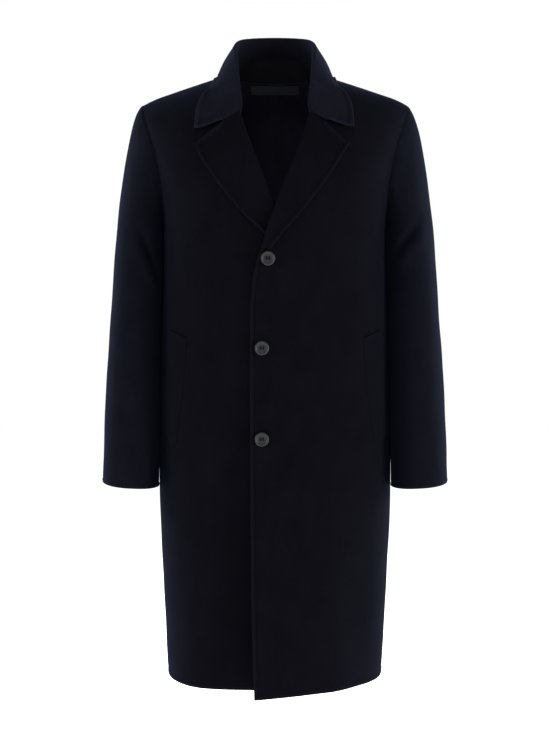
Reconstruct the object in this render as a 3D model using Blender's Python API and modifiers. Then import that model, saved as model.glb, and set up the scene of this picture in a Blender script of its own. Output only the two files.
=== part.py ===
"""A single-breasted wool overcoat in its worn shape, hollow, with no wearer.

Metres, +Z up. The front faces -Y and +X is the wearer's left. The origin lies between the shoulders,
at the level of the neck points, where a wearer carries the coat. Each piece that a tailor cuts is one
object: a thin wall, made as an open sheet that is laid on the coat's form and given its cloth by Solidify.
"""

import math
from typing import NamedTuple

import bmesh
import bpy
import numpy as np
from mathutils import Matrix, Vector

# Cloth and seams
CLOTH = 0.0024
SEAM_GAP = 0.0003
HALF_GAP = SEAM_GAP / 2
LAID_GAP = 0.0009
LAYER = CLOTH + 0.0004
LEFT, RIGHT = 1, -1
FRONT, BACK = -1, 1


# The coat's form: flat sections up the body, each a rounded oval
class Section(NamedTuple):
    z: float
    half_width: float
    front: float
    back: float
    square: float


TORSO = (
    Section(-1.020, 0.1775, 0.1500, 0.1500, 2.30),
    Section(-0.905, 0.1830, 0.1510, 0.1490, 2.35),
    Section(-0.800, 0.1876, 0.1520, 0.1470, 2.40),
    Section(-0.685, 0.1916, 0.1525, 0.1420, 2.50),
    Section(-0.550, 0.1900, 0.1520, 0.1320, 2.60),
    Section(-0.430, 0.1870, 0.1510, 0.1250, 2.65),
    Section(-0.320, 0.1820, 0.1500, 0.1270, 2.75),
    Section(-0.245, 0.1815, 0.1500, 0.1300, 2.80),
    Section(-0.200, 0.1860, 0.1500, 0.1320, 2.80),
    Section(-0.150, 0.1970, 0.1490, 0.1320, 2.80),
    Section(-0.100, 0.2130, 0.1480, 0.1300, 2.80),
    Section(-0.040, 0.2360, 0.1480, 0.1250, 2.80),
    Section(0.030, 0.2600, 0.1480, 0.1250, 2.80),
)
RIDGE_HEIGHT = 0.0322
RIDGE_SLOPE = 0.3406
RIDGE_ROUND = 0.040
SHOULDER_ROUND_FROM = 0.185
SHOULDER_ROUND_TO = 0.2155
SHOULDER_DROP = 0.0040
ROOF_FRONT = 0.170
ROOF_BACK = 0.105
UNDERARM_Z = -0.245
HEM_Z = -0.9915


# How far the hem of a front drops towards its edge
class HemDrop(NamedTuple):
    drop: float
    x_from: float
    x_to: float
    power: float


HEM_DROP = {LEFT: HemDrop(0.0095, 0.075, -0.032, 1.3), RIGHT: HemDrop(0.0010, 0.110, 0.040, 1.0)}

# Neck and armholes
NECK_HALF_WIDTH = 0.0775
NECK_DEPTH = 0.0790


class EdgePoint(NamedTuple):
    z: float
    x: float


ARMHOLE_FRONT = (
    EdgePoint(-0.2450, 0.1815),
    EdgePoint(-0.2320, 0.1810),
    EdgePoint(-0.2100, 0.1812),
    EdgePoint(-0.1800, 0.1835),
    EdgePoint(-0.1500, 0.1875),
    EdgePoint(-0.1250, 0.1920),
    EdgePoint(-0.1000, 0.1990),
    EdgePoint(-0.0800, 0.2065),
    EdgePoint(-0.0600, 0.2135),
    EdgePoint(-0.0350, 0.2155),
)
ARMHOLE_BACK = (
    EdgePoint(-0.2450, 0.1815),
    EdgePoint(-0.2320, 0.1811),
    EdgePoint(-0.2100, 0.1818),
    EdgePoint(-0.1800, 0.1850),
    EdgePoint(-0.1500, 0.1905),
    EdgePoint(-0.1250, 0.1970),
    EdgePoint(-0.1000, 0.2030),
    EdgePoint(-0.0800, 0.2085),
    EdgePoint(-0.0600, 0.2140),
    EdgePoint(-0.0350, 0.2155),
)

# Front edges: the button front below, the roll of the lapel above it, then the neck seam
LEFT_EDGE = (
    EdgePoint(-1.0300, -0.0318),
    EdgePoint(-0.8370, -0.0368),
    EdgePoint(-0.5790, -0.0389),
    EdgePoint(-0.4190, -0.0392),
    EdgePoint(-0.3564, -0.0382),
    EdgePoint(-0.3090, -0.0325),
    EdgePoint(-0.2622, -0.0190),
    EdgePoint(-0.2340, -0.0099),
    EdgePoint(-0.2042, 0.0016),
    EdgePoint(-0.1660, 0.0158),
    EdgePoint(-0.1370, 0.0291),
    EdgePoint(-0.1085, 0.0397),
    EdgePoint(-0.0770, 0.0500),
    EdgePoint(-0.0625, 0.0540),
    EdgePoint(-0.0450, 0.0592),
    EdgePoint(-0.0250, 0.0662),
    EdgePoint(-0.0080, 0.0730),
    EdgePoint(0.0100, 0.0800),
)
RIGHT_EDGE = (
    EdgePoint(-1.0300, -0.0040),
    EdgePoint(-0.4000, -0.0040),
    EdgePoint(-0.3200, -0.0100),
    EdgePoint(-0.2622, -0.0165),
    EdgePoint(-0.2320, -0.0095),
    EdgePoint(-0.2025, 0.0008),
    EdgePoint(-0.1810, 0.0100),
    EdgePoint(-0.1545, 0.0206),
    EdgePoint(-0.1290, 0.0308),
    EdgePoint(-0.1005, 0.0413),
    EdgePoint(-0.0770, 0.0500),
    EdgePoint(-0.0625, 0.0540),
    EdgePoint(-0.0450, 0.0592),
    EdgePoint(-0.0250, 0.0662),
    EdgePoint(-0.0080, 0.0730),
    EdgePoint(0.0100, 0.0800),
)
GORGE_Z = -0.0625
BREAK_Z = -0.2720
ROLL_RADIUS = 0.0020
ROLL_GAP = 0.0010
ROLL_SETBACK = ROLL_GAP + ROLL_RADIUS + CLOTH / 2


# How far the lapping left front stands off the right one, by height
class Lift(NamedTuple):
    z: float
    lift: float


OVERLAP = (
    Lift(-1.030, 0.0100),
    Lift(-0.800, 0.0078),
    Lift(-0.600, 0.0046),
    Lift(-0.450, 0.0036),
    Lift(-0.345, 0.0046),
    Lift(-0.285, 0.0082),
    Lift(-0.195, 0.0082),
    Lift(-0.135, 0.0030),
    Lift(-0.085, 0.0000),
    Lift(0.030, 0.0000),
)
OVERLAP_FULL_X = 0.022
OVERLAP_NONE_X = 0.130


# Soft folds of the hanging cloth, raised where depth is above zero
class Fold(NamedTuple):
    x: float
    width: float
    z_top: float
    z_full: float
    depth: float


FRONT_FOLDS = {
    LEFT: (Fold(0.086, 0.030, -0.560, -0.900, 0.0035), Fold(0.142, 0.026, -0.640, -0.930, -0.0035)),
    RIGHT: (Fold(0.030, 0.074, -0.340, -0.860, -0.0200), Fold(0.128, 0.028, -0.600, -0.920, 0.0035)),
}
BACK_FOLDS = (Fold(0.055, 0.030, -0.250, -0.800, 0.0050), Fold(0.118, 0.028, -0.380, -0.850, -0.0045))


# Sleeve sections below the armhole
class SleeveSection(NamedTuple):
    z: float
    inner: float
    outer: float
    front: float
    back: float


SLEEVE = (
    SleeveSection(-0.310, 0.1760, 0.2652, -0.0750, 0.0770),
    SleeveSection(-0.382, 0.1790, 0.2695, -0.0830, 0.0680),
    SleeveSection(-0.482, 0.1830, 0.2764, -0.0915, 0.0560),
    SleeveSection(-0.582, 0.1865, 0.2811, -0.0980, 0.0430),
    SleeveSection(-0.672, 0.1905, 0.2841, -0.1030, 0.0300),
)
SLEEVE_SQUARE = 2.3
SLEEVE_CLEAR = LAYER + 0.0006
SLEEVE_PRESS = 0.0030
SLEEVE_TOP_Z = SLEEVE[0].z
CUFF_Z = -0.6655
CUFF_RISE = 0.0035
CROWN_ANGLE = 90.0
FRONT_SEAM_ANGLE = -52.0
BACK_SEAM_ANGLE = 226.0
SLEEVE_SEAM_HALF = 0.55
CROWN_FALL = 23.0
UNDERARM_FALL = 84.0
CAP_SHARE = 0.5


# Collar stations from the centre back to the gorge: roll line and leaf edge
class CollarStation(NamedTuple):
    neck: float
    roll_x: float
    roll_y: float
    roll_z: float
    edge_x: float
    edge_y: float
    edge_z: float


COLLAR = (
    CollarStation(0.000, 0.0000, 0.0770, 0.0670, 0.0000, 0.1000, -0.0200),
    CollarStation(0.130, 0.0350, 0.0690, 0.0655, 0.0450, 0.0940, -0.0175),
    CollarStation(0.250, 0.0550, 0.0470, 0.0605, 0.0775, 0.0660, -0.0115),
    CollarStation(0.360, 0.0622, 0.0180, 0.0495, 0.0930, 0.0330, -0.0050),
    CollarStation(0.480, 0.0617, -0.0120, 0.0335, 0.0965, 0.0000, -0.0040),
    CollarStation(0.600, 0.0606, -0.0380, 0.0110, 0.0988, -0.0320, -0.0085),
    CollarStation(0.700, 0.0594, -0.0640, -0.0110, 0.1045, -0.0600, -0.0180),
    CollarStation(0.820, 0.0574, -0.0890, -0.0330, 0.1165, -0.0830, -0.0350),
    CollarStation(0.920, 0.0552, -0.1080, -0.0490, 0.1240, -0.1050, -0.0600),
    CollarStation(1.000, 0.0525, -0.1200, -0.0610, 0.1250, -0.1240, -0.0880),
)
COLLAR_TIP_SHIFT = {LEFT: EdgePoint(0.0010, -0.0010), RIGHT: EdgePoint(-0.0020, 0.0020)}
COLLAR_ROLL_BACK = 0.0036
COLLAR_BULGE = 0.0050
STAND_SHARE = 0.52
STAND_REACH = 0.82
COLLAR_FOOT = 0.0023


# Lapel edges: where each row across the lapel ends, by share of the roll from the break to the gorge
class LapelRow(NamedTuple):
    share: float
    x: float
    z: float


LAPEL_EDGE = {
    LEFT: (
        LapelRow(0.00, -0.0060, -0.2740),
        LapelRow(0.15, 0.0120, -0.2510),
        LapelRow(0.35, 0.0395, -0.2185),
        LapelRow(0.55, 0.0650, -0.1860),
        LapelRow(0.75, 0.0895, -0.1515),
        LapelRow(0.90, 0.1065, -0.1250),
        LapelRow(1.00, 0.1137, -0.1131),
    ),
    RIGHT: (
        LapelRow(0.00, 0.0060, -0.2765),
        LapelRow(0.15, 0.0160, -0.2530),
        LapelRow(0.35, 0.0468, -0.2232),
        LapelRow(0.55, 0.0738, -0.1925),
        LapelRow(0.75, 0.0988, -0.1580),
        LapelRow(0.90, 0.1165, -0.1300),
        LapelRow(1.00, 0.1238, -0.1125),
    ),
}
NOTCH = {LEFT: EdgePoint(-0.0762, 0.0745), RIGHT: EdgePoint(-0.0782, 0.0815)}
NOTCH_SHARE = 1 / 3


# Pocket welts: inner and outer corner of each cross section, from the top down
class WeltRow(NamedTuple):
    share: float
    inner_x: float
    inner_z: float
    outer_x: float
    outer_z: float


WELT = (
    WeltRow(0.0, 0.1390, -0.4188, 0.1690, -0.4077),
    WeltRow(0.5, 0.1470, -0.5038, 0.1755, -0.4930),
    WeltRow(1.0, 0.1590, -0.5935, 0.1835, -0.5830),
)
WELT_CLOTH = 0.0022

# Buttons and label
BUTTON_RADIUS = 0.0114
BUTTON_THICKNESS = 0.0042
BUTTON_RIM = 0.0020
BUTTON_DISH = 0.0012
BUTTON_HOLE_RADIUS = 0.0010
BUTTON_HOLE_SPACING = 0.0021
BUTTONS = {
    "button_top": EdgePoint(-0.2903, -0.0110),
    "button_middle": EdgePoint(-0.4323, -0.0205),
    "button_bottom": EdgePoint(-0.5773, -0.0206),
}
LABEL_HALF_WIDTH = 0.0415
LABEL_TOP_Z = -0.0066
LABEL_HEIGHT = 0.0140
LABEL_CLOTH = 0.0010
LABEL_GAP = 0.0015

# Grid sizes of the sheets: across, along
BODY_COLUMNS, SKIRT_ROWS, CHEST_ROWS = 14, 14, 13
SLEEVE_TOP_COLUMNS, SLEEVE_UNDER_COLUMNS, CAP_ROWS, ARM_ROWS = 14, 9, 8, 8
COLLAR_STATIONS, STAND_COLUMNS = 30, 2
LEAF_STAND_COLUMNS, LEAF_ROLL_COLUMNS, LEAF_COLUMNS = 2, 3, 6
STAND_END = LEAF_STAND_COLUMNS / (LEAF_STAND_COLUMNS + LEAF_ROLL_COLUMNS + LEAF_COLUMNS)
ROLL_END = 1 - LEAF_COLUMNS / (LEAF_STAND_COLUMNS + LEAF_ROLL_COLUMNS + LEAF_COLUMNS)
ROLL_COLUMNS, LAPEL_COLUMNS, LAPEL_ROWS = 3, 6, 11
WELT_COLUMNS, WELT_ROWS = 3, 7
LABEL_COLUMNS = 8
BUTTON_SIDES = 20
HOLE_SIDES = 8


class Finish(NamedTuple):
    name: str
    colour: tuple
    roughness: float
    metallic: float


WOOL = Finish("navy_wool", (0.0080, 0.0085, 0.0140, 1.0), 0.95, 0.0)
HORN = Finish("dark_horn", (0.0300, 0.0300, 0.0330, 1.0), 0.35, 0.0)
SATIN = Finish("label_satin", (0.0110, 0.0110, 0.0140, 1.0), 0.55, 0.0)


def smooth(rows, key, value, at):
    """Reads a table column at given keys, along a smooth curve through its rows."""
    table = sorted(rows, key=lambda row: getattr(row, key))
    k = np.array([getattr(row, key) for row in table])
    v = np.array([getattr(row, value) for row in table])
    step, rise = np.diff(k), np.diff(v)
    slope = rise / step
    inner = (slope[:-1] * step[1:] + slope[1:] * step[:-1]) / (step[1:] + step[:-1])
    tangent = np.concatenate([slope[:1], inner, slope[-1:]])
    at = np.clip(np.asarray(at, float), k[0], k[-1])
    i = np.clip(np.searchsorted(k, at) - 1, 0, len(step) - 1)
    t = (at - k[i]) / step[i]
    return (
        v[i] * (1 + 2 * t) * (1 - t) ** 2
        + step[i] * tangent[i] * t * (1 - t) ** 2
        + v[i + 1] * t**2 * (3 - 2 * t)
        + step[i] * tangent[i + 1] * t**2 * (t - 1)
    )


def ease(t):
    t = np.clip(t, 0.0, 1.0)
    return t * t * (3 - 2 * t)


def unit(v):
    return v / np.maximum(np.linalg.norm(v, axis=-1, keepdims=True), 1e-12)


def mix(a, b, share):
    return a + (b - a) * share


def points(x, y, z):
    return np.stack(np.broadcast_arrays(x, y, z), axis=-1).astype(float)


def ridge(x):
    """Height of the shoulder line over a point at x; it rounds off towards the sleeve."""
    end = np.clip((np.abs(x) - SHOULDER_ROUND_FROM) / (SHOULDER_ROUND_TO - SHOULDER_ROUND_FROM), 0.0, None)
    return RIDGE_HEIGHT - RIDGE_SLOPE * np.sqrt(x**2 + RIDGE_ROUND**2) - SHOULDER_DROP * end**2


def angle_of(x, z):
    """Angle round the section, from the centre line to the side seam, of the point at x."""
    share = np.clip(np.abs(x) / smooth(TORSO, "z", "half_width", z), 0.0, 1.0)
    return np.sign(x) * np.arcsin(share ** (smooth(TORSO, "z", "square", z) / 2))


def body_x(angle, z):
    """Distance from the centre line at an angle round the section."""
    power = 2 / smooth(TORSO, "z", "square", z)
    return smooth(TORSO, "z", "half_width", z) * np.sign(np.sin(angle)) * np.abs(np.sin(angle)) ** power


def form(angle, z, face):
    """A point of the bare form, at an angle round its section, on the front or the back."""
    x = body_x(angle, z)
    roof = ROOF_FRONT if face == FRONT else ROOF_BACK
    depth = smooth(TORSO, "z", "front" if face == FRONT else "back", z)
    share = np.clip((ridge(x) - z) / roof, 0.0, 1.0)
    power = 2 / smooth(TORSO, "z", "square", z)
    y = face * depth * np.abs(np.cos(angle)) ** power * np.sqrt(1 - (1 - share) ** 2)
    return points(x, y, z)


def form_normal(angle, z, face):
    """Outward direction of the form."""
    step = 1e-3
    across = form(angle + step, z, face) - form(angle - step, z, face)
    down = form(angle, z - step / 4, face) - form(angle, z, face)
    out = unit(np.cross(across, down))
    return out * face


def fold_height(folds, x, z):
    """How far the soft folds raise or sink the cloth."""
    height = np.zeros(np.broadcast(x, z).shape)
    for fold in folds:
        fade = ease((fold.z_top - z) / (fold.z_top - fold.z_full))
        height = height + fold.depth * fade * np.exp(-(((x - fold.x) / fold.width) ** 2))
    return height


def front_surface(side, x, z, lift=0.0):
    """A point of the left or right front at x (across, towards its own side) and z, lifted off it."""
    angle = angle_of(x, z)
    height = fold_height(FRONT_FOLDS[side], x, z)
    if side == LEFT:
        spread = ease((OVERLAP_NONE_X - x) / (OVERLAP_NONE_X - OVERLAP_FULL_X))
        height = height + spread * smooth(OVERLAP, "z", "lift", z)
    out = form_normal(angle, z, FRONT)
    at = form(angle, z, FRONT) + out * np.expand_dims(height + lift, -1)
    return at * (side, 1, 1)


def front_normal(side, x, z):
    return form_normal(angle_of(x, z), z, FRONT) * (side, 1, 1)


def back_surface(side, x, z, lift=0.0):
    angle = angle_of(x, z)
    height = fold_height(BACK_FOLDS, x, z) + lift
    at = form(angle, z, BACK) + form_normal(angle, z, BACK) * np.expand_dims(height, -1)
    return at * (side, 1, 1)


def roll_setback(z):
    """The front's cloth stops short of the visible roll, which the folded lapel makes."""
    return ROLL_SETBACK * ease((z - BREAK_Z + 0.02) / 0.04) * ease((0.0 - z) / 0.03)


def front_edge(side, z):
    """Where a front's inner edge runs, across the body from the centre towards its own side."""
    return smooth(LEFT_EDGE if side == LEFT else RIGHT_EDGE, "z", "x", z) + roll_setback(z)


def back_top(x):
    """Upper edge of the back: the round neck, then the shoulder line."""
    share = np.clip(np.abs(x) / NECK_HALF_WIDTH, 0.0, 1.0)
    depth = NECK_DEPTH * np.sqrt(1 - share**2) / smooth(TORSO, "z", "back", 0.0)
    return ridge(x) - ROOF_BACK * (1 - np.sqrt(1 - depth**2))


def settle(edge_x, top, climb):
    """Finds where an edge meets the row that has climbed a share of the way from underarm to top."""
    z = np.full(np.shape(climb), UNDERARM_Z)
    for _ in range(12):
        x = edge_x(z)
        z = top(x) - (top(x) - UNDERARM_Z) * (1 - climb) ** 2
    return x, z


def body_rows(u, v, inner_x, outer_x, hem, top):
    """Spreads a body panel: rows level in the skirt, and climbing to the shoulder above the underarm."""
    skirt = SKIRT_ROWS / (SKIRT_ROWS + CHEST_ROWS)
    climb = np.clip((v - skirt) / (1 - skirt), 0.0, 1.0)
    level = np.clip(v / skirt, 0.0, 1.0)
    chest_x, chest_z = settle(inner_x, top, climb)
    arm_x, arm_z = settle(outer_x, top, climb)
    low_z = mix(HEM_Z, UNDERARM_Z, level)
    in_chest = climb > 0
    start = angle_of(np.where(in_chest, chest_x, inner_x(low_z)), np.where(in_chest, chest_z, low_z))
    end = np.where(in_chest, angle_of(arm_x, arm_z), math.pi / 2)
    angle = mix(start, end, u)
    z = np.where(in_chest, mix(chest_z, arm_z, u), low_z)
    for _ in range(12):
        x = body_x(angle, z)
        chest = top(x) - (top(x) - UNDERARM_Z) * (1 - climb) ** 2
        z = np.where(in_chest, chest, mix(hem(x), UNDERARM_Z, level))
    return x, z


def front_panel(side):
    def hem(x):
        fall = HEM_DROP[side]
        share = np.clip((fall.x_from - x) / (fall.x_from - fall.x_to), 0.0, 1.0)
        return HEM_Z - fall.drop * share**fall.power

    def place(u, v):
        x, z = body_rows(
            u, v, lambda z: front_edge(side, z), lambda z: smooth(ARMHOLE_FRONT, "z", "x", z), hem, ridge
        )
        return front_surface(side, x, z) + (0.0, -HALF_GAP, 0.0)

    return place


def back_panel(side):
    def place(u, v):
        x, z = body_rows(
            u,
            v,
            lambda z: np.zeros(np.shape(z)),
            lambda z: smooth(ARMHOLE_BACK, "z", "x", z),
            lambda x: np.full(np.shape(x), HEM_Z),
            back_top,
        )
        return back_surface(side, x, z) + (side * HALF_GAP, HALF_GAP, 0.0)

    return place


def armhole(side, face):
    """Even points of an armhole edge from the shoulder to the underarm, with the directions out."""
    climb = np.linspace(1.0, 0.0, 200)
    rows = ARMHOLE_FRONT if face == FRONT else ARMHOLE_BACK
    x, z = settle(lambda z: smooth(rows, "z", "x", z), ridge, climb)
    angle = np.where(climb > 0, angle_of(x, z), math.pi / 2)
    at = form(angle, z, face)
    out = form_normal(np.minimum(angle, math.pi / 2 - 0.02), np.minimum(z, ridge(x) - 1e-3), face)
    run = np.concatenate([[0.0], np.cumsum(np.linalg.norm(np.diff(at, axis=0), axis=1))])
    even = np.linspace(0.0, run[-1], 200)
    flip = (side, 1, 1)
    spread = [np.stack([np.interp(even, run, a[:, k]) for k in range(3)], axis=1) * flip for a in (at, out)]
    return spread[0], unit(spread[1])


def beside_body(x, y, z):
    """Keeps a sleeve point clear of the body's side, which it lies softly against."""
    square = smooth(TORSO, "z", "square", z)
    depth = np.where(y < 0, smooth(TORSO, "z", "front", z), smooth(TORSO, "z", "back", z))
    share = np.clip(np.abs(y) / depth, 0.0, 1.0)
    least = smooth(TORSO, "z", "half_width", z) * (1 - share**square) ** (1 / square) + SLEEVE_CLEAR
    return (x + least + np.sqrt((x - least) ** 2 + SLEEVE_PRESS**2)) / 2


def sleeve_ring(side, turn, z):
    """A point of the arm's section: turn 0 faces the front, 90 the outside, 180 the back."""
    inner, outer = smooth(SLEEVE, "z", "inner", z), smooth(SLEEVE, "z", "outer", z)
    front, back = smooth(SLEEVE, "z", "front", z), smooth(SLEEVE, "z", "back", z)
    power = 2 / SLEEVE_SQUARE
    s, c = np.sin(turn), np.cos(turn)
    x = (inner + outer) / 2 + (outer - inner) / 2 * np.sign(s) * np.abs(s) ** power
    y = (front + back) / 2 - (back - front) / 2 * np.sign(c) * np.abs(c) ** power
    return points(beside_body(x, y, z), y, z) * (side, 1, 1)


def sleeve_panel(side, start_degrees, end_degrees):
    edges = {face: armhole(side, face) for face in (FRONT, BACK)}

    def along_edge(face, column, share):
        line = edges[face][column]
        even = np.linspace(0.0, 1.0, len(line))
        return np.stack([np.interp(share, even, line[:, k]) for k in range(3)], axis=1)

    def head(turn):
        """Where the sleeve leaves the armhole, and in which direction."""
        from_crown = np.degrees(turn) - CROWN_ANGLE
        share = np.abs(from_crown) / 180.0
        low = (1 - np.cos(np.radians(from_crown))) / 2
        before = (from_crown < 0)[:, None]
        at = np.where(before, along_edge(FRONT, 0, share), along_edge(BACK, 0, share))
        out = np.where(before, along_edge(FRONT, 1, share), along_edge(BACK, 1, share))
        fall = np.radians(mix(CROWN_FALL, UNDERARM_FALL, low))
        leave = points(side * np.cos(fall), 0.0, -np.sin(fall))
        lift = np.expand_dims(LAYER * ease(low * 1.6) + HALF_GAP, -1)
        return at + out * lift + leave * 3 * SEAM_GAP, leave

    def place(u, v):
        turn = np.radians(mix(start_degrees, end_degrees, u))
        cap = np.clip(v / CAP_SHARE, 0.0, 1.0)
        arm = np.clip((v - CAP_SHARE) / (1 - CAP_SHARE), 0.0, 1.0)
        begin, leave = head(turn)
        end = sleeve_ring(side, turn, np.full(turn.shape, SLEEVE_TOP_Z))
        down = unit(sleeve_ring(side, turn, np.full(turn.shape, SLEEVE_TOP_Z - 0.03)) - end)
        span = np.linalg.norm(end - begin, axis=1, keepdims=True)
        t = cap[:, None]
        curve = (
            begin * (1 + 2 * t) * (1 - t) ** 2
            + leave * span * 0.27 * t * (1 - t) ** 2
            + end * t**2 * (3 - 2 * t)
            + down * span * 1.10 * t**2 * (t - 1)
        )
        cuff = CUFF_Z + CUFF_RISE * np.sin(turn)
        tube = sleeve_ring(side, turn, mix(SLEEVE_TOP_Z, cuff, arm))
        return np.where((v > CAP_SHARE)[:, None], tube, curve)

    return place


def roll_point(side, share):
    """A point of the lapel's roll, with the direction on past it and the direction out of the cloth."""
    z = mix(BREAK_Z, GORGE_Z, share)
    x = front_edge(side, z)
    at, out = front_surface(side, x, z), front_normal(side, x, z)
    step = 1e-3
    along = unit(front_surface(side, front_edge(side, z + step), z + step) - at)
    return at, unit(np.cross(along, out)) * -side, out, x, z


def lapel_panel(side):
    edge = LAPEL_EDGE[side]
    tip, notch = edge[-1], NOTCH[side]
    gorge_x = float(front_edge(side, GORGE_Z))
    fold_share = ROLL_COLUMNS / (ROLL_COLUMNS + LAPEL_COLUMNS)

    def place(u, v):
        at, onward, out, roll_x, roll_z = roll_point(side, v * 0.995)
        q = np.clip((u - fold_share) / (1 - fold_share), 0.0, 1.0)
        x = mix(roll_x, smooth(edge, "share", "x", v), q)
        z = mix(roll_z, smooth(edge, "share", "z", v), q)
        first = q <= NOTCH_SHARE
        near, far = q / NOTCH_SHARE, (q - NOTCH_SHARE) / (1 - NOTCH_SHARE)
        top_x = np.where(first, mix(gorge_x, notch.x, near), mix(notch.x, tip.x, far))
        top_z = np.where(first, mix(GORGE_Z, notch.z, near), mix(notch.z, tip.z, far)) - SEAM_GAP
        bend = v**5
        x = x + bend * (top_x - mix(gorge_x, tip.x, q))
        z = z + bend * (top_z - mix(GORGE_Z, tip.z, q))
        flat = front_surface(side, x, z, 2 * ROLL_RADIUS)
        turn = (np.pi * np.clip(u / fold_share, 0.0, 1.0))[:, None]
        fold = at + onward * (ROLL_GAP + ROLL_RADIUS * np.sin(turn)) + out * ROLL_RADIUS * (1 - np.cos(turn))
        return np.where((u > fold_share + 1e-6)[:, None], flat, fold)

    return place


def neck_seam(share):
    """The left neck edge, from the centre back (0) over the neck point to the gorge (1)."""
    back_x = np.linspace(0.0, NECK_HALF_WIDTH, 60)
    back = back_surface(LEFT, back_x, back_top(back_x))
    climb = np.linspace(1.0, 0.0, 400)
    x, z = settle(lambda z: front_edge(LEFT, z), ridge, climb)
    keep = z >= GORGE_Z
    front = front_surface(LEFT, x[keep], z[keep])
    line = np.concatenate([back, front[1:]])
    run = np.concatenate([[0.0], np.cumsum(np.linalg.norm(np.diff(line, axis=0), axis=1))])
    return np.stack([np.interp(share * run[-1], run, line[:, k]) for k in range(3)], axis=-1)


def lifted_clear(at, lift):
    """Moves points that lie within a distance of the body's form out to that distance."""
    for _ in range(3):
        x, y, z = at[:, 0], at[:, 1], at[:, 2]
        face = np.where(y < 0, FRONT, BACK)
        for which in (FRONT, BACK):
            low = np.minimum(z, ridge(x) - 1e-4)
            angle = angle_of(np.abs(x), low)
            on, out = form(angle, low, which), form_normal(angle, low, which)
            away = ((np.stack([np.abs(x), y, z], axis=1) - on) * out).sum(axis=1)
            short = np.where((face == which) & (away < lift), lift - away, 0.0)
            at = at + out * (np.sign(x) + (x == 0))[:, None] ** np.array([1, 0, 0]) * short[:, None]
    return at


def collar_panel(is_leaf):
    """The collar's stand, or its leaf: up from the stand, over the roll and down to the edge."""

    at, onward = roll_point(LEFT, 1.0)[:2]
    end = at + onward * ROLL_GAP
    before = COLLAR[1]._replace(neck=-COLLAR[1].neck, roll_x=-COLLAR[1].roll_x, edge_x=-COLLAR[1].edge_x)
    last = COLLAR[-1]._replace(roll_x=end[0], roll_y=end[1], roll_z=end[2])
    rows = (before, *COLLAR[:-1], last)

    def column(name, station):
        return smooth(rows, "neck", name, station)

    def roll_at(station):
        return points(column("roll_x", station), column("roll_y", station), column("roll_z", station))

    def place(u, v):
        side = np.where(v < 0.5, RIGHT, LEFT)
        station = np.abs(2 * v - 1) * (1.0 if is_leaf else STAND_REACH)
        neck, roll = neck_seam(station), roll_at(station)
        edge = points(column("edge_x", station), column("edge_y", station), column("edge_z", station))
        shift_x = np.where(v < 0.5, COLLAR_TIP_SHIFT[RIGHT].x, COLLAR_TIP_SHIFT[LEFT].x)
        shift_z = np.where(v < 0.5, COLLAR_TIP_SHIFT[RIGHT].z, COLLAR_TIP_SHIFT[LEFT].z)
        edge = edge + points(shift_x, 0.0, shift_z) * (station**4)[:, None]
        along = unit(roll_at(np.minimum(station + 0.01, 1.0)) - roll_at(np.maximum(station - 0.01, 0.0)))
        rise = unit(roll - neck)
        out = unit(np.cross(rise, along))
        rise = unit(np.cross(along, out))
        radius = mix(COLLAR_ROLL_BACK, ROLL_RADIUS, station)[:, None]
        foot = neck + rise * COLLAR_FOOT
        joint = mix(foot, roll, (STAND_SHARE * (1 - 0.92 * ease((station - 0.4) / 0.5)))[:, None])
        if not is_leaf:
            return mix(foot, joint - rise * SEAM_GAP, u[:, None]) * points(side, 1.0, 1.0)
        stand = mix(joint + rise * SEAM_GAP, roll, np.clip(u / STAND_END, 0.0, 1.0)[:, None])
        turn = np.pi * np.clip((u - STAND_END) / (ROLL_END - STAND_END), 0.0, 1.0)[:, None]
        fold = roll + out * radius * (1 - np.cos(turn)) + rise * radius * np.sin(turn)
        q = np.clip((u - ROLL_END) / (1 - ROLL_END), 0.0, 1.0)
        leaf_start = roll + out * 2 * radius
        bulge = np.sin(np.pi * q)[:, None] * out * (COLLAR_BULGE * (1 - station**2))[:, None]
        leaf = mix(leaf_start, edge, q[:, None]) + bulge
        dip = station**10 * np.interp(q, [0.0, NOTCH_SHARE, 1.0], [0.0, 1.0, 0.0])
        gorge = mix(GORGE_Z, COLLAR[-1].edge_z, NOTCH_SHARE) - NOTCH[LEFT].z
        leaf = leaf - points(0.0, 0.0, dip * (gorge - SEAM_GAP))
        leaf = lifted_clear(leaf, mix(LAYER, 2 * ROLL_RADIUS, ease((station - 0.5) / 0.4)))
        at = np.where((u < STAND_END)[:, None], stand, np.where((u < ROLL_END)[:, None], fold, leaf))
        return at * points(side, 1.0, 1.0)

    return place


def welt_panel(side):
    def place(u, v):
        x = mix(smooth(WELT, "share", "inner_x", v), smooth(WELT, "share", "outer_x", v), u)
        z = mix(smooth(WELT, "share", "inner_z", v), smooth(WELT, "share", "outer_z", v), u)
        return front_surface(side, x, z, (CLOTH + WELT_CLOTH) / 2 + LAID_GAP)

    return place


def label_panel(u, v):
    x = mix(-LABEL_HALF_WIDTH, LABEL_HALF_WIDTH, u)
    z = mix(LABEL_TOP_Z - LABEL_HEIGHT, LABEL_TOP_Z, v)
    inside = -((CLOTH + LABEL_CLOTH) / 2 + LABEL_GAP)
    return back_surface(LEFT, np.abs(x), z, inside) * points(np.where(x < 0, -1, 1), 1.0, 1.0)


def material(finish):
    found = bpy.data.materials.get(finish.name)
    if found:
        return found
    made = bpy.data.materials.new(finish.name)
    made.use_nodes = True
    shader = made.node_tree.nodes["Principled BSDF"]
    shader.inputs["Base Color"].default_value = finish.colour
    shader.inputs["Roughness"].default_value = finish.roughness
    shader.inputs["Metallic"].default_value = finish.metallic
    return made


def add_object(name, mesh, finish, collection):
    obj = bpy.data.objects.new(name, mesh)
    obj.data.materials.append(material(finish))
    collection.objects.link(obj)
    return obj


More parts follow.
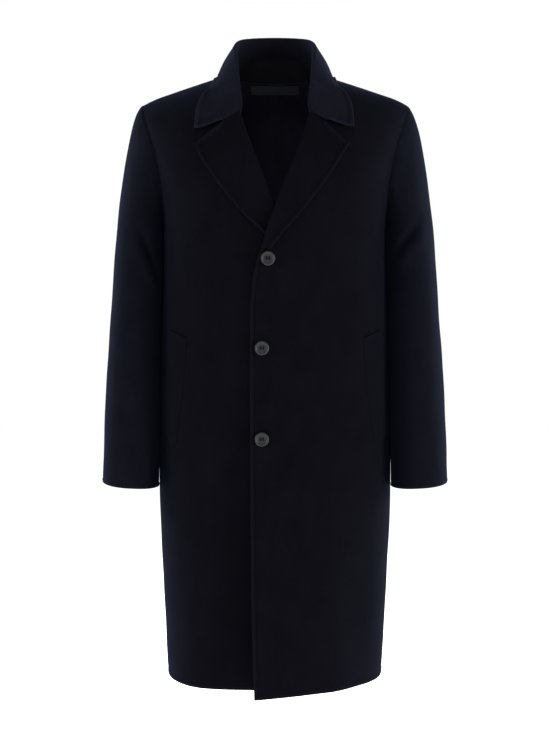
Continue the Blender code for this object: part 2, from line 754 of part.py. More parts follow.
def sheet(name, place, columns, rows, collection, cloth=CLOTH, finish=WOOL):
    """A cloth piece: a flat grid laid on the form by place(u, v), with the cloth's thickness about it."""
    grid = bmesh.new()
    bmesh.ops.create_grid(grid, x_segments=columns, y_segments=rows, size=0.5)
    flat = np.array([vertex.co[:2] for vertex in grid.verts]) + 0.5
    for vertex, at in zip(grid.verts, place(flat[:, 0], flat[:, 1])):
        vertex.co = at
    mesh = bpy.data.meshes.new(name)
    grid.to_mesh(mesh)
    grid.free()
    mesh.shade_smooth()
    obj = add_object(name, mesh, finish, collection)
    solidify = obj.modifiers.new("cloth", "SOLIDIFY")
    solidify.thickness = cloth
    solidify.offset = 0.0
    solidify.use_even_offset = True
    return obj


def button_mesh(name):
    """A dished four-hole button, turned about +Z, its back on z = 0."""
    profile = (
        (0.0, BUTTON_THICKNESS - BUTTON_DISH),
        (BUTTON_RADIUS - 2 * BUTTON_RIM, BUTTON_THICKNESS - BUTTON_DISH),
        (BUTTON_RADIUS - BUTTON_RIM, BUTTON_THICKNESS),
        (BUTTON_RADIUS - BUTTON_RIM / 3, BUTTON_THICKNESS - BUTTON_DISH / 3),
        (BUTTON_RADIUS, BUTTON_THICKNESS / 2),
        (BUTTON_RADIUS * 0.62, 0.0),
        (0.0, 0.0),
    )
    turned = bmesh.new()
    line = [turned.verts.new((radius, 0.0, height)) for radius, height in profile]
    edges = [turned.edges.new(pair) for pair in zip(line, line[1:])]
    bmesh.ops.spin(
        turned,
        geom=line + edges,
        axis=(0, 0, 1),
        cent=(0, 0, 0),
        angle=2 * math.pi,
        steps=BUTTON_SIDES,
        use_merge=True,
    )
    bmesh.ops.remove_doubles(turned, verts=turned.verts, dist=1e-6)
    bmesh.ops.recalc_face_normals(turned, faces=turned.faces)
    mesh = bpy.data.meshes.new(name)
    turned.to_mesh(mesh)
    turned.free()
    mesh.shade_smooth()
    mesh.set_sharp_from_angle(angle=math.radians(40))
    return mesh


def hole_cutter(cutters):
    """Four upright pins that cut the sewing holes."""
    pins = bmesh.new()
    for across in (-1, 1):
        for up in (-1, 1):
            place = Matrix.Translation((across * BUTTON_HOLE_SPACING, up * BUTTON_HOLE_SPACING, 0.0))
            bmesh.ops.create_cone(
                pins,
                cap_ends=True,
                segments=HOLE_SIDES,
                radius1=BUTTON_HOLE_RADIUS,
                radius2=BUTTON_HOLE_RADIUS,
                depth=4 * BUTTON_THICKNESS,
                matrix=place,
            )
    mesh = bpy.data.meshes.new("sewing_holes")
    pins.to_mesh(mesh)
    pins.free()
    cutter = bpy.data.objects.new("sewing_holes", mesh)
    cutter.hide_render = True
    cutter.display_type = "WIRE"
    cutters.objects.link(cutter)
    return cutter


def add_button(name, spot, cutters, collection):
    """A button flat on the left front, its back a seam gap off the cloth under its widest part."""
    reach = BUTTON_RADIUS
    around = [(spot.x + dx, spot.z + dz) for dx in (-reach, 0, reach) for dz in (-reach, 0, reach)]
    at = front_surface(LEFT, np.array(spot.x), np.array(spot.z))
    out = front_normal(LEFT, np.array(spot.x), np.array(spot.z))
    rise = max(float((front_surface(LEFT, np.array(x), np.array(z)) - at) @ out) for x, z in around)
    seat = at + out * (max(rise, 0.0) + CLOTH / 2 + 2 * SEAM_GAP)
    turn = Vector(out).to_track_quat("Z", "Y").to_matrix().to_4x4()
    button = add_object(name, button_mesh(name), HORN, collection)
    button.matrix_world = Matrix.Translation(Vector(seat)) @ turn
    pins = hole_cutter(cutters)
    pins.matrix_world = button.matrix_world
    cut = button.modifiers.new("sewing_holes", "BOOLEAN")
    cut.operation = "DIFFERENCE"
    cut.object = pins


def main():
    for obj in list(bpy.data.objects):
        bpy.data.objects.remove(obj)
    coat = bpy.data.collections.new("overcoat")
    cutters = bpy.data.collections.new("cutters")
    for collection in (coat, cutters):
        bpy.context.scene.collection.children.link(collection)

    sides = {"left": LEFT, "right": RIGHT}
    for word, side in sides.items():
        rows = SKIRT_ROWS + CHEST_ROWS
        sheet(f"front_{word}", front_panel(side), BODY_COLUMNS, rows, coat)
        sheet(f"back_{word}", back_panel(side), BODY_COLUMNS, rows, coat)
        rows = CAP_ROWS + ARM_ROWS
        front_seam, back_seam = FRONT_SEAM_ANGLE, BACK_SEAM_ANGLE
        over = sleeve_panel(side, front_seam + SLEEVE_SEAM_HALF, back_seam - SLEEVE_SEAM_HALF)
        under = sleeve_panel(side, front_seam - SLEEVE_SEAM_HALF, back_seam - 360 + SLEEVE_SEAM_HALF)
        sheet(f"topsleeve_{word}", over, SLEEVE_TOP_COLUMNS, rows, coat)
        sheet(f"undersleeve_{word}", under, SLEEVE_UNDER_COLUMNS, rows, coat)
        sheet(f"lapel_{word}", lapel_panel(side), ROLL_COLUMNS + LAPEL_COLUMNS, LAPEL_ROWS, coat)
        sheet(f"pocket_welt_{word}", welt_panel(side), WELT_COLUMNS, WELT_ROWS, coat, WELT_CLOTH)
    sheet("collar_stand", collar_panel(False), STAND_COLUMNS, COLLAR_STATIONS, coat)
    columns = LEAF_STAND_COLUMNS + LEAF_ROLL_COLUMNS + LEAF_COLUMNS
    sheet("collar_leaf", collar_panel(True), columns, COLLAR_STATIONS, coat)
    sheet("neck_label", label_panel, LABEL_COLUMNS, 1, coat, LABEL_CLOTH, SATIN)
    for name, spot in BUTTONS.items():
        add_button(name, spot, cutters, coat)


main()
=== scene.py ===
"""The looks of a single-breasted navy wool overcoat, hollow, in its worn shape.

Every cut piece is a fine cloth wall with rolled edges, seam lips, soft creases and pick stitches, laid on
the same form as the solids. Metres, +Z up, the front faces -Y and +X is the wearer's left.
"""

import logging
import math
from collections.abc import Callable
from dataclasses import dataclass, field
from enum import Enum
from functools import cached_property

import bmesh
import bpy
import numpy as np
from mathutils import Matrix, Vector
from numpy.typing import ArrayLike, NDArray


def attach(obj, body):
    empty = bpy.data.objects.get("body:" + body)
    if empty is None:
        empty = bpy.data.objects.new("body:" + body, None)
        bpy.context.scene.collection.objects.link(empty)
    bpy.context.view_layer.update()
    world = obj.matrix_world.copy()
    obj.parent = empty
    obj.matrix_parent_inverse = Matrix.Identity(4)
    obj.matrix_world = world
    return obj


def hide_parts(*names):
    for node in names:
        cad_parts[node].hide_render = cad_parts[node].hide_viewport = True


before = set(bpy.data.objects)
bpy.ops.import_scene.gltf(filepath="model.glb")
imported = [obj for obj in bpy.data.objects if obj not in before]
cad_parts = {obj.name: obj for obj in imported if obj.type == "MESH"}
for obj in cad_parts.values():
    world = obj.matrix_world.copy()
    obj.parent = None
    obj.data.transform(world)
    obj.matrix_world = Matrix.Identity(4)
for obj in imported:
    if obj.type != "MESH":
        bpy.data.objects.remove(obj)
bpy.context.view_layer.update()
LOG = logging.getLogger("overcoat")

Array = NDArray[np.float64]
Place = Callable[[Array, Array], Array]
Colour = tuple[float, float, float, float]

CLOTH = 0.0024
SEAM_GAP = 0.0003
HALF_GAP = SEAM_GAP / 2
LAYER = CLOTH + 0.0004
# The collar and the lapel part at this share of the lapel's upper edge
NOTCH_SHARE = 1 / 3
# How far the gorge seam's edges slip past each other
GORGE_TUCK = 0.0014
# How far the edges of collar and lapels stand off what lies under them
EDGE_LIFT = 0.0034
# How far in from a turned edge its stitches run
STITCH_INSET = 0.0064
# Grid lines near an edge of cloth, metres in from it
EDGE_STEPS = (0, 0.0002, 0.0005, 0.0009, 0.0014, 0.0021, 0.003, 0.004, 0.0052, 0.006, 0.0068, 0.0078, 0.0095)


class Side(Enum):
    """The wearer's left or right."""

    LEFT = 1
    RIGHT = -1

    @property
    def word(self) -> str:
        """The side's name in a piece's name."""
        return self.name.lower()


class Face(Enum):
    """The front or the back of the body's form."""

    FRONT = -1
    BACK = 1


class Edge(Enum):
    """The four edges of a cloth wall's grid."""

    START = "start"
    END = "end"
    FOOT = "foot"
    TOP = "top"


def ease(t: ArrayLike) -> Array:
    """Smooth step from 0 to 1."""
    t = np.clip(np.asarray(t, float), 0.0, 1.0)
    return t * t * (3 - 2 * t)


def hump(away: Array, width: float) -> Array:
    """A soft bump of height one, by distance from its crest."""
    return np.exp(-((away / width) ** 2))


def unit(v: Array) -> Array:
    """Vectors scaled to length one."""
    return v / np.maximum(np.linalg.norm(v, axis=-1, keepdims=True), 1e-12)


def mix(a: ArrayLike, b: ArrayLike, share: ArrayLike) -> Array:
    """A share of the way from a to b."""
    return a + (np.asarray(b, float) - a) * share


def points(x: ArrayLike, y: ArrayLike, z: ArrayLike) -> Array:
    """Points from their three coordinates."""
    return np.stack(np.broadcast_arrays(x, y, z), axis=-1).astype(float)


def run_lengths(line: Array) -> Array:
    """Distance travelled along a line of points."""
    return np.concatenate([[0.0], np.cumsum(np.linalg.norm(np.diff(line, axis=0), axis=1))])


def along_line(line: Array, at: Array, run: Array) -> Array:
    """Points of a line at given distances along it."""
    return np.stack([np.interp(at, run, line[:, k]) for k in range(line.shape[1])], axis=-1)


def grid_lines(count: int, length: float) -> Array:
    """Shares from 0 to 1, even in the middle and close together near both ends.

    Args:
        count: Even steps in the middle.
        length: The cloth's length along these shares, in metres.

    Returns:
        The sorted shares.
    """
    near = np.array(EDGE_STEPS) / length
    middle = np.linspace(near[-1], 1 - near[-1], count + 1)
    return np.unique(np.concatenate([near, middle, 1 - near]).round(9))


def free_past(start: float, soft: float = 0.03) -> Callable[[Array], Array]:
    """Tells how free an edge is along it: sewn up to a share, and free a soft step later."""
    return lambda share: ease((share - start) / soft)


def add_object(name: str, data: bpy.types.ID) -> bpy.types.Object:
    """Puts a mesh, lamp or camera into the scene as a new object."""
    made = bpy.data.objects.new(name, data)
    bpy.context.scene.collection.objects.link(made)
    return made


def add_mesh(name: str, shape: bmesh.types.BMesh) -> bpy.types.Mesh:
    """Turns a shape that is done with into a mesh."""
    mesh = bpy.data.meshes.new(name)
    shape.to_mesh(mesh)
    shape.free()
    return mesh


@dataclass(frozen=True)
class Table:
    """Sizes listed along a key, its first column, and read along a smooth curve through the rows."""

    columns: tuple[str, ...]
    rows: tuple[tuple[float, ...], ...]

    @cached_property
    def data(self) -> Array:
        """The rows in the order of their key."""
        return np.array(sorted(self.rows))

    def read(self, column: str, at: ArrayLike) -> Array:
        """Reads a column at given keys.

        Args:
            column: The column's name.
            at: Keys, held inside the table's range.

        Returns:
            One value for each key.
        """
        k, v = self.data[:, 0], self.data[:, self.columns.index(column)]
        step = np.diff(k)
        slope = np.diff(v) / step
        inner = (slope[:-1] * step[1:] + slope[1:] * step[:-1]) / (step[1:] + step[:-1])
        tangent = np.concatenate([slope[:1], inner, slope[-1:]])
        at = np.clip(np.asarray(at, float), k[0], k[-1])
        i = np.clip(np.searchsorted(k, at) - 1, 0, len(step) - 1)
        t = (at - k[i]) / step[i]
        return (
            v[i] * (1 + 2 * t) * (1 - t) ** 2
            + step[i] * tangent[i] * t * (1 - t) ** 2
            + v[i + 1] * t**2 * (3 - 2 * t)
            + step[i] * tangent[i + 1] * t**2 * (t - 1)
        )


@dataclass(frozen=True)
class Crease:
    """A soft ridge, or a trough where depth is below zero, along a bent line that fades at both ends."""

    line: tuple[tuple[float, float], ...]
    width: float
    depth: float

    def height(self, a: Array, b: Array) -> Array:
        """How far the crease raises the cloth.

        Args:
            a: First coordinate of the points, in metres on the cloth.
            b: Second coordinate.

        Returns:
            The rise at each point.
        """
        corners = np.array(self.line)
        run = run_lengths(corners)
        away, where = np.full(np.shape(a), np.inf), np.zeros(np.shape(a))
        for k, (start, end) in enumerate(zip(corners, corners[1:])):
            step = end - start
            t = np.clip(((a - start[0]) * step[0] + (b - start[1]) * step[1]) / (step @ step), 0.0, 1.0)
            d = np.hypot(a - start[0] - t * step[0], b - start[1] - t * step[1])
            nearer = d < away
            where = np.where(nearer, (run[k] + t * (run[k + 1] - run[k])) / run[-1], where)
            away = np.where(nearer, d, away)
        fade = np.sin(np.pi * np.clip(where * 0.92 + 0.04, 0.0, 1.0))
        return self.depth * fade * hump(away, self.width)


@dataclass(frozen=True)
class Fold:
    """A soft fold of the hanging skirt, from a height down."""

    x: float
    width: float
    z_top: float
    z_full: float
    depth: float

    def height(self, x: Array, z: Array) -> Array:
        """How far the fold raises the cloth at points across and up the body."""
        fade = ease((self.z_top - z) / (self.z_top - self.z_full))
        return self.depth * fade * hump(x - self.x, self.width)


def wobble(x: Array, z: Array) -> Array:
    """The slight unevenness of pressed cloth, in metres, over points across and up the coat."""
    waves = ((41, 17, 0.3), (-23, 38, 1.9), (67, -29, 4.1), (12, 71, 2.6), (88, 53, 5.2))
    return 0.00011 * sum(np.sin(a * x + b * z + c + 0.8 * np.sin(19 * z + c)) for a, b, c in waves)


@dataclass(frozen=True)
class BodyForm:
    """The filled-out trunk that the coat's body hangs on: rounded flat sections under a shoulder ridge."""

    sections: Table = Table(
        ("z", "half_width", "front", "back", "square"),
        (
            (-1.020, 0.1775, 0.1500, 0.1500, 2.30),
            (-0.905, 0.1830, 0.1510, 0.1490, 2.35),
            (-0.800, 0.1876, 0.1520, 0.1470, 2.40),
            (-0.685, 0.1916, 0.1525, 0.1420, 2.50),
            (-0.550, 0.1900, 0.1520, 0.1320, 2.60),
            (-0.430, 0.1870, 0.1510, 0.1250, 2.65),
            (-0.320, 0.1820, 0.1500, 0.1270, 2.75),
            (-0.245, 0.1815, 0.1500, 0.1300, 2.80),
            (-0.200, 0.1860, 0.1500, 0.1320, 2.80),
            (-0.150, 0.1970, 0.1490, 0.1320, 2.80),
            (-0.100, 0.2130, 0.1480, 0.1300, 2.80),
            (-0.040, 0.2360, 0.1480, 0.1250, 2.80),
            (0.030, 0.2600, 0.1480, 0.1250, 2.80),
        ),
    )
    ridge_height: float = 0.0322
    ridge_slope: float = 0.3406
    ridge_round: float = 0.040
    shoulder_round_from: float = 0.185
    shoulder_round_to: float = 0.2155
    shoulder_drop: float = 0.0040
    roof_front: float = 0.170
    roof_back: float = 0.105
    underarm_z: float = -0.245
    hem_z: float = -0.9915
    neck_half_width: float = 0.0775
    neck_depth: float = 0.0790
    skirt_share: float = 14 / 27

    def ridge(self, x: Array) -> Array:
        """Height of the shoulder line over points at x; it rounds off towards the sleeve."""
        span = self.shoulder_round_to - self.shoulder_round_from
        end = np.clip((np.abs(x) - self.shoulder_round_from) / span, 0.0, None)
        slope = self.ridge_slope * np.sqrt(np.asarray(x) ** 2 + self.ridge_round**2)
        return self.ridge_height - slope - self.shoulder_drop * end**2

    def angle(self, x: Array, z: Array) -> Array:
        """Angle round the section, from the centre line to the side seam, of points at x."""
        share = np.clip(np.abs(x) / self.sections.read("half_width", z), 0.0, 1.0)
        return np.sign(x) * np.arcsin(share ** (self.sections.read("square", z) / 2))

    def across(self, angle: Array, z: Array) -> Array:
        """Distance from the centre line at angles round the section."""
        power = 2 / self.sections.read("square", z)
        reach = np.abs(np.sin(angle)) ** power
        return self.sections.read("half_width", z) * np.sign(np.sin(angle)) * reach

    def point(self, angle: Array, z: Array, face: Face) -> Array:
        """Points of the bare form.

        Args:
            angle: Angles round the section.
            z: Heights.
            face: Front or back.

        Returns:
            One point for each angle and height.
        """
        x = self.across(angle, z)
        front = face is Face.FRONT
        depth = self.sections.read("front" if front else "back", z)
        share = np.clip((self.ridge(x) - z) / (self.roof_front if front else self.roof_back), 0.0, 1.0)
        power = 2 / self.sections.read("square", z)
        y = face.value * depth * np.abs(np.cos(angle)) ** power * np.sqrt(1 - (1 - share) ** 2)
        return points(x, y, z)

    def normal(self, angle: Array, z: Array, face: Face) -> Array:
        """Outward directions of the form at angles and heights."""
        step = 1e-3
        across = self.point(angle + step, z, face) - self.point(angle - step, z, face)
        down = self.point(angle, z - step / 4, face) - self.point(angle, z, face)
        return unit(np.cross(across, down)) * face.value

    def back_top(self, x: Array) -> Array:
        """Upper edge of the back: the round neck, then the shoulder line."""
        share = np.clip(np.abs(x) / self.neck_half_width, 0.0, 1.0)
        depth = self.neck_depth * np.sqrt(1 - share**2) / self.sections.read("back", 0.0)
        return self.ridge(x) - self.roof_back * (1 - np.sqrt(1 - depth**2))

    def settle(self, edge_x: Callable[[Array], Array], top: Callable[[Array], Array], climb: Array) -> Array:
        """Finds where an edge meets the rows that climb from the underarm to the top.

        Args:
            edge_x: The edge's place across the body by height.
            top: The upper edge by place across.
            climb: Share of the climb of each row.

        Returns:
            Places across and heights, stacked.
        """
        z = np.full(np.shape(climb), self.underarm_z)
        x = edge_x(z)
        for _ in range(14):
            x = edge_x(z)
            z = top(x) - (top(x) - self.underarm_z) * (1 - climb) ** 2
        return np.stack([x, z])

    @cached_property
    def girth(self) -> Array:
        """Angles round a middle section with the length of cloth up to each, stacked."""
        angle = np.linspace(-0.8, math.pi / 2, 6000)
        line = self.point(angle, np.full(angle.shape, -0.55), Face.FRONT)
        return np.stack([angle, run_lengths(line)])

    def rows(
        self,
        u: Array,
        v: Array,
        inner_x: Callable[[Array], Array],
        outer_x: Callable[[Array], Array],
        hem: Callable[[Array], Array],
        top: Callable[[Array], Array],
    ) -> Array:
        """Spreads a body panel: level rows in the skirt, climbing to the shoulder above the underarm.

        Args:
            u: Shares across the panel.
            v: Shares up the panel.
            inner_x: The inner edge by height.
            outer_x: The armhole edge by height.
            hem: The hem's height by place across.
            top: The upper edge by place across.

        Returns:
            Places across and heights, stacked.
        """
        skirt = self.skirt_share
        climb = np.clip((v - skirt) / (1 - skirt), 0.0, 1.0)
        level = np.clip(v / skirt, 0.0, 1.0)
        chest_x, chest_z = self.settle(inner_x, top, climb)
        arm_x, arm_z = self.settle(outer_x, top, climb)
        low_z = mix(self.hem_z, self.underarm_z, level)
        chest = climb > 0
        start = self.angle(np.where(chest, chest_x, inner_x(low_z)), np.where(chest, chest_z, low_z))
        end = np.where(chest, self.angle(arm_x, arm_z), math.pi / 2)
        angles, lengths = self.girth
        spread = mix(np.interp(start, angles, lengths), np.interp(end, angles, lengths), u)
        angle = np.interp(spread, lengths, angles)
        z = np.where(chest, mix(chest_z, arm_z, u), low_z)
        x = self.across(angle, z)
        for _ in range(14):
            x = self.across(angle, z)
            z = np.where(
                chest,
                top(x) - (top(x) - self.underarm_z) * (1 - climb) ** 2,
                mix(hem(x), self.underarm_z, level),
            )
        return np.stack([x, z])


BODY = BodyForm()


def panel_lines(skirt_rows: int, chest_rows: int) -> Array:
    """Shares up a body panel: close together at the hem, then even in the skirt and in the chest."""
    skirt = BODY.skirt_share
    low = grid_lines(skirt_rows, BODY.underarm_z - BODY.hem_z) * skirt
    return np.concatenate([low[low < 0.988 * skirt], np.linspace(skirt, 1.0, chest_rows + 1)])


ARMHOLES = {
    Face.FRONT: Table(
        ("z", "x"),
        (
            (-0.2450, 0.1815),
            (-0.2320, 0.1810),
            (-0.2100, 0.1812),
            (-0.1800, 0.1835),
            (-0.1500, 0.1875),
            (-0.1250, 0.1920),
            (-0.1000, 0.1990),
            (-0.0800, 0.2065),
            (-0.0600, 0.2135),
            (-0.0350, 0.2155),
        ),
    ),
    Face.BACK: Table(
        ("z", "x"),
        (
            (-0.2450, 0.1815),
            (-0.2320, 0.1811),
            (-0.2100, 0.1818),
            (-0.1800, 0.1850),
            (-0.1500, 0.1905),
            (-0.1250, 0.1970),
            (-0.1000, 0.2030),
            (-0.0800, 0.2085),
            (-0.0600, 0.2140),
            (-0.0350, 0.2155),
        ),
    ),
}
NECK_EDGE = (
    (-0.0770, 0.0500),
    (-0.0625, 0.0540),
    (-0.0450, 0.0592),
    (-0.0250, 0.0662),
    (-0.0080, 0.0730),
    (0.0100, 0.0800),
)
FRONT_EDGES = {
    Side.LEFT: Table(
        ("z", "x"),
        (
            (-1.0300, -0.0318),
            (-0.8370, -0.0368),
            (-0.5790, -0.0389),
            (-0.4190, -0.0392),
            (-0.3564, -0.0382),
            (-0.3090, -0.0325),
            (-0.2622, -0.0190),
            (-0.2340, -0.0099),
            (-0.2042, 0.0016),
            (-0.1660, 0.0158),
            (-0.1370, 0.0291),
            (-0.1085, 0.0397),
            *NECK_EDGE,
        ),
    ),
    Side.RIGHT: Table(
        ("z", "x"),
        (
            (-1.0300, -0.0040),
            (-0.4000, -0.0040),
            (-0.3200, -0.0100),
            (-0.2622, -0.0165),
            (-0.2320, -0.0095),
            (-0.2025, 0.0008),
            (-0.1810, 0.0100),
            (-0.1545, 0.0206),
            (-0.1290, 0.0308),
            (-0.1005, 0.0413),
            *NECK_EDGE,
        ),
    ),
}
# Where the lapel's upper edge leaves the collar: across and up
NOTCHES = {Side.LEFT: (0.0745, -0.0762), Side.RIGHT: (0.0815, -0.0782)}
# How far the hem drops towards the front edge, from where to where across, and how sharply
HEM_DROPS = {Side.LEFT: (0.0095, 0.075, -0.032, 1.3), Side.RIGHT: (0.0010, 0.110, 0.040, 1.0)}
OVERLAP = Table(
    ("z", "lift"),
    (
        (-1.030, 0.0100),
        (-0.800, 0.0078),
        (-0.600, 0.0046),
        (-0.450, 0.0036),
        (-0.345, 0.0046),
        (-0.285, 0.0082),
        (-0.195, 0.0082),
        (-0.135, 0.0030),
        (-0.085, 0.0000),
        (0.030, 0.0000),
    ),
)
FRONT_FOLDS = {
    Side.LEFT: (Fold(0.086, 0.030, -0.560, -0.900, 0.0035), Fold(0.142, 0.026, -0.640, -0.930, -0.0035)),
    Side.RIGHT: (Fold(0.030, 0.074, -0.340, -0.860, -0.0200), Fold(0.128, 0.028, -0.600, -0.920, 0.0035)),
}
BACK_FOLDS = (Fold(0.055, 0.030, -0.250, -0.800, 0.0050), Fold(0.118, 0.028, -0.380, -0.850, -0.0045))
FRONT_CREASES = {
    Side.LEFT: (
        Crease(((0.178, -0.205), (0.160, -0.262), (0.150, -0.330)), 0.012, -0.0012),
        Crease(((0.165, -0.190), (0.146, -0.250), (0.136, -0.310)), 0.014, 0.0010),
    ),
    Side.RIGHT: (
        Crease(((0.178, -0.200), (0.164, -0.255), (0.156, -0.310)), 0.012, -0.0011),
        Crease(((0.166, -0.185), (0.149, -0.235), (0.141, -0.290)), 0.014, 0.0009),
    ),
}
BACK_CREASES = (
    Crease(((0.176, -0.195), (0.158, -0.250), (0.150, -0.320)), 0.013, -0.0016),
    Crease(((0.160, -0.180), (0.142, -0.240), (0.132, -0.300)), 0.015, 0.0013),
    Crease(((0.120, -0.400), (0.128, -0.520), (0.132, -0.640)), 0.020, -0.0012),
)


@dataclass(frozen=True)
class FrontForm:
    """The outer form of one front, with its edge from the hem over the lapel's roll to the neck."""

    side: Side
    gorge_z: float = -0.0625
    break_z: float = -0.2720
    roll_radius: float = 0.0020
    roll_gap: float = 0.0010
    overlap_full_x: float = 0.022
    overlap_none_x: float = 0.130

    def height(self, x: Array, z: Array) -> Array:
        """How far folds, creases and the lap of the fronts raise the cloth off the form."""
        rise = wobble(self.side.value * np.asarray(x), np.asarray(z))
        for bend in (*FRONT_FOLDS[self.side], *FRONT_CREASES[self.side]):
            rise = rise + bend.height(x, z)
        if self.side is Side.LEFT:
            spread = ease((self.overlap_none_x - x) / (self.overlap_none_x - self.overlap_full_x))
            rise = rise + spread * OVERLAP.read("lift", z)
        return rise

    def normal(self, x: Array, z: Array) -> Array:
        """Outward directions at places across and up."""
        return BODY.normal(BODY.angle(x, z), z, Face.FRONT) * (self.side.value, 1, 1)

    def surface(self, x: Array, z: Array, lift: ArrayLike = 0.0) -> Array:
        """Points of the front.

        Args:
            x: Places across, towards the front's own side.
            z: Heights.
            lift: How far off the front's own middle they lie.

        Returns:
            The points.
        """
        angle = BODY.angle(x, z)
        out = BODY.normal(angle, z, Face.FRONT)
        at = BODY.point(angle, z, Face.FRONT) + out * np.expand_dims(self.height(x, z) + lift, -1)
        return at * (self.side.value, 1, 1)

    def edge(self, z: Array) -> Array:
        """Where the inner edge runs; above the break it stops short of the roll that the lapel makes."""
        setback = self.roll_gap + self.roll_radius + CLOTH / 2
        share = ease((z - self.break_z + 0.02) / 0.04) * ease((0.0 - z) / 0.03)
        return FRONT_EDGES[self.side].read("x", z) + setback * share

    def hem(self, x: Array) -> Array:
        """The hem's height, which drops towards the edge."""
        drop, start, end, power = HEM_DROPS[self.side]
        return BODY.hem_z - drop * np.clip((start - x) / (start - end), 0.0, 1.0) ** power

    def roll(self, share: Array) -> tuple[Array, Array, Array, Array, Array]:
        """The lapel's roll.

        Args:
            share: Shares of the way from the break to the gorge.

        Returns:
            Points, directions on past the edge, directions out, places across and heights.
        """
        z = mix(self.break_z, self.gorge_z, share)
        x = self.edge(z)
        at, out = self.surface(x, z), self.normal(x, z)
        step = 1e-3
        along = unit(self.surface(self.edge(z + step), z + step) - at)
        return at, unit(np.cross(along, out)) * -self.side.value, out, x, z


@dataclass(frozen=True)
class BackForm:
    """The outer form of one half of the back."""

    side: Side

    def surface(self, x: Array, z: Array, lift: ArrayLike = 0.0) -> Array:
        """Points of the back at places across (towards its own side) and up, lifted off it."""
        angle = BODY.angle(x, z)
        calm = ease(np.asarray(x) / 0.03)
        rise = calm * wobble(self.side.value * np.asarray(x), np.asarray(z) + 0.4) + lift
        for bend in (*BACK_FOLDS, *BACK_CREASES):
            rise = rise + bend.height(x, z)
        at = BODY.point(angle, z, Face.BACK) + BODY.normal(angle, z, Face.BACK) * np.expand_dims(rise, -1)
        return at * (self.side.value, 1, 1)


@dataclass(frozen=True)
class Rim:
    """A turned, edge-stitched border: a soft bead, then the sunk line of the stitches.

    The edge bends up by lift, away from what lies under it, times what lifted gives along it, and the
    highlight strength says how strongly a lighter colour is painted along the edge: a painted highlight for
    light catching the turned edge. weight gives how far the edge is turned and free along it. crest and
    spread place the bead, as shares of the inset.
    """

    inset: float = STITCH_INSET
    puff: float = 0.0005
    groove: float = 0.0005
    groove_width: float = 0.0011
    crest: float = 0.45
    spread: float = 0.36
    lift: float = 0.0
    lift_reach: float = 1.5
    # Strength of the lighter colour painted along the edge: a painted highlight
    pile: float = 1.0
    weight: Callable[[Array], Array] | None = None
    lifted: Callable[[Array], Array] | None = None

    def bead(self, inset: Array) -> Array:
        """The bead's share of its height, by distance in from the edge."""
        return hump(inset - self.crest * self.inset, self.spread * self.inset)

    def bend(self, inset: Array) -> Array:
        """The share of the lift, by distance in from the edge."""
        return 1 - ease(inset / (self.lift_reach * self.inset))

    def painted_highlight_share(self, inset: Array) -> Array:
        """How strongly the edge's highlight is painted, by distance in from the edge."""
        return self.pile * (1 - ease((inset - self.crest * self.inset) / ((1 - self.crest) * self.inset)))


HEM_RIM = Rim(inset=0.0085)
HEM_DEPTH = 0.040


